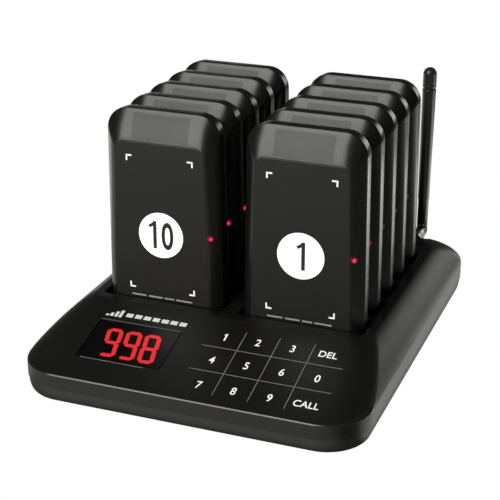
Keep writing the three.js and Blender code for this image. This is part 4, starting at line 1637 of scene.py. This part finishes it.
@dataclass
class Internals:
    """The boards, leads, switch, jack and fixings, which keep their CAD meshes and get their finishes."""

    boards: tuple[str, ...] = ("touch_board", "main_board", "charging_board_left", "charging_board_right")

    def build(self) -> list[str]:
        """Dresses the nodes and gives their names."""
        circuits = [f"pager_{number:02d}_circuit" for number, _, _ in PLACES.pagers()]
        screws = [f"housing_screw_{number}" for number in range(1, 5)]
        return [
            *Finish.BOARD.on_nodes(*self.boards, *circuits),
            *Finish.MODULE.on_nodes("led_display"),
            *Finish.RIBBON.on_nodes("ribbon_cable"),
            *Finish.LEAD.on_nodes("antenna_lead"),
            *Finish.SOCKET.on_nodes("dc_jack", "power_switch_body", "pager_01_buzzer"),
            *Finish.KNOB.on_nodes("power_switch_knob"),
            *Finish.STEEL.on_nodes(*screws, "antenna_hinge_pin", "pager_01_vibration_motor"),
            *Finish.BATTERY.on_nodes("pager_01_battery"),
        ]


# ---- Studio ----


LAMP_TINT: Colour = (1.0, 0.993, 0.93)


@dataclass(frozen=True)
class Softbox:
    """A soft rectangular lamp that faces a point on the set and that the camera doesn't see."""

    name: str
    at: Point
    size: Pair
    glow: float
    target: Point = (0.0, 0.0, 50.0)

    def turn(self) -> Euler:
        """The turn that points it at its target."""
        return (Vector(self.target) - Vector(self.at)).to_track_quat("-Z", "Y").to_euler()

    def build(self) -> None:
        """Hangs the lamp, with a power for the brightness of its face."""
        data = bpy.data.lights.new(self.name, "AREA")
        data.shape = "RECTANGLE"
        data.size, data.size_y = (side * MM for side in self.size)
        data.energy = 4 * data.size * data.size_y * self.glow
        data.color = LAMP_TINT
        lamp = bpy.data.objects.new(self.name, data)
        lamp.location = Vector(self.at) * MM
        lamp.rotation_euler = self.turn()
        lamp.visible_camera = False
        bpy.context.collection.objects.link(lamp)


class FloorGlow(Softbox):
    """A soft lamp that lies just over the floor and shines upwards, as a lit white floor does."""

    def turn(self) -> Euler:
        """The turn that points it straight up."""
        return Euler((math.pi, 0, 0))


def floor_glow(name: str, low: Pair, high: Pair, glow: float) -> FloorGlow:
    """A lit stretch of floor between two corners."""
    middle = ((low[0] + high[0]) / 2, (low[1] + high[1]) / 2, 0.3)
    return FloorGlow(name, middle, (high[0] - low[0], high[1] - low[1]), glow)


@dataclass
class Studio:
    """The camera, a white floor that is lit in places, and soft lamps round the set."""

    camera_at: Point = (197.27, -526.27, 277.63)
    camera_target: Point = (0.0, -13.22, 46.96)
    lens: float = 97.08
    floor_half: float = 4000.0
    floor_white: float = 1.0
    floor_grey: float = 0.25
    surround: float = 0.05
    lamps: tuple[Softbox, ...] = (
        Softbox("key_front_left", (-400, -1050, 420), (700, 800), 4.0),
        Softbox("key_high_left", (-256, -672, 908), (700, 476), 4.4),
        Softbox("rim_right", (420, 1000, 215), (300, 330), 2.4),
        Softbox("fill_left_rear", (-570, 810, 105), (500, 200), 0.9),
        floor_glow("floor_front_near", (-450, -150), (77, -97), 0.44),
        floor_glow("floor_front_middle", (-450, -280), (77, -150), 0.22),
        floor_glow("floor_front_far", (-450, -520), (77, -280), 0.7),
        floor_glow("floor_left", (-420, -97), (-82, 60), 0.35),
        floor_glow("floor_left_rear", (-420, 60), (-82, 420), 0.9),
        floor_glow("floor_right", (77, -80), (108, 420), 0.9),
        floor_glow("floor_right_rear", (120, 85), (560, 260), 2.6),
    )

    def floor(self) -> None:
        """A wide floor that looks plain white and returns a soft grey light."""
        plane = fresh("studio_floor", bpy.ops.mesh.primitive_plane_add, size=2 * self.floor_half * MM)
        look = Look("studio_floor_white")
        sees = look.value("ShaderNodeLightPath", output="Is Camera Ray")
        white = look.node("ShaderNodeEmission", None, {"Color": (1, 1, 1), "Strength": self.floor_white})
        grey = look.node("ShaderNodeBsdfDiffuse", None, {"Color": (self.floor_grey,) * 3})
        mixed = look.node("ShaderNodeMixShader", None, {0: sees, 1: grey.outputs[0], 2: white.outputs[0]})
        look.node("ShaderNodeOutputMaterial", None, {"Surface": mixed.outputs[0]})
        plane.data.materials.append(look.owner)
        plane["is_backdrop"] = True

    def world(self) -> None:
        """A dim even surround for reflections that looks white past the floor."""
        look = Look("studio", bpy.data.worlds.new("studio"))
        sees = look.value("ShaderNodeLightPath", output="Is Camera Ray")
        dim, white = (
            look.node("ShaderNodeBackground", None, {"Color": (1, 1, 1), "Strength": strength})
            for strength in (self.surround, self.floor_white)
        )
        mixed = look.node("ShaderNodeMixShader", None, {0: sees, 1: dim.outputs[0], 2: white.outputs[0]})
        look.node("ShaderNodeOutputWorld", None, {"Surface": mixed.outputs[0]})
        bpy.context.scene.world = look.owner

    def camera(self) -> None:
        """The camera at its standing place."""
        data = bpy.data.cameras.new("camera")
        data.lens = self.lens
        data.sensor_width = 36.0
        camera = bpy.data.objects.new("camera", data)
        camera.location = Vector(self.camera_at) * MM
        aim = Vector(self.camera_target) - Vector(self.camera_at)
        camera.rotation_euler = aim.to_track_quat("-Z", "Y").to_euler()
        bpy.context.collection.objects.link(camera)
        bpy.context.scene.camera = camera

    def build(self) -> None:
        """Sets the studio up."""
        self.camera()
        self.floor()
        self.world()
        for lamp in self.lamps:
            lamp.build()
        bpy.context.scene.view_settings.view_transform = "Standard"


def main() -> None:
    """Builds the studio and every sub-assembly in order, and works out the two boxes."""
    logging.basicConfig(level=logging.INFO, format="%(name)s: %(message)s")
    Studio().build()
    base = (UpperHousing(), LowerHousing(), Feet(), Display(), Keypad())
    for assembly in (*base, PagerSet(), Antenna(), Internals()):
        made = assembly.build()
        for piece in made if isinstance(made, list) else [made]:
            LOG.info("%s: %s", type(assembly).__name__, getattr(piece, "name", piece))
    boxes = {"cad": CAD_BOX, "visual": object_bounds()}
    {key: [list(corner) for corner in box] for key, box in boxes.items()}


if __name__ == "__main__":
    main()
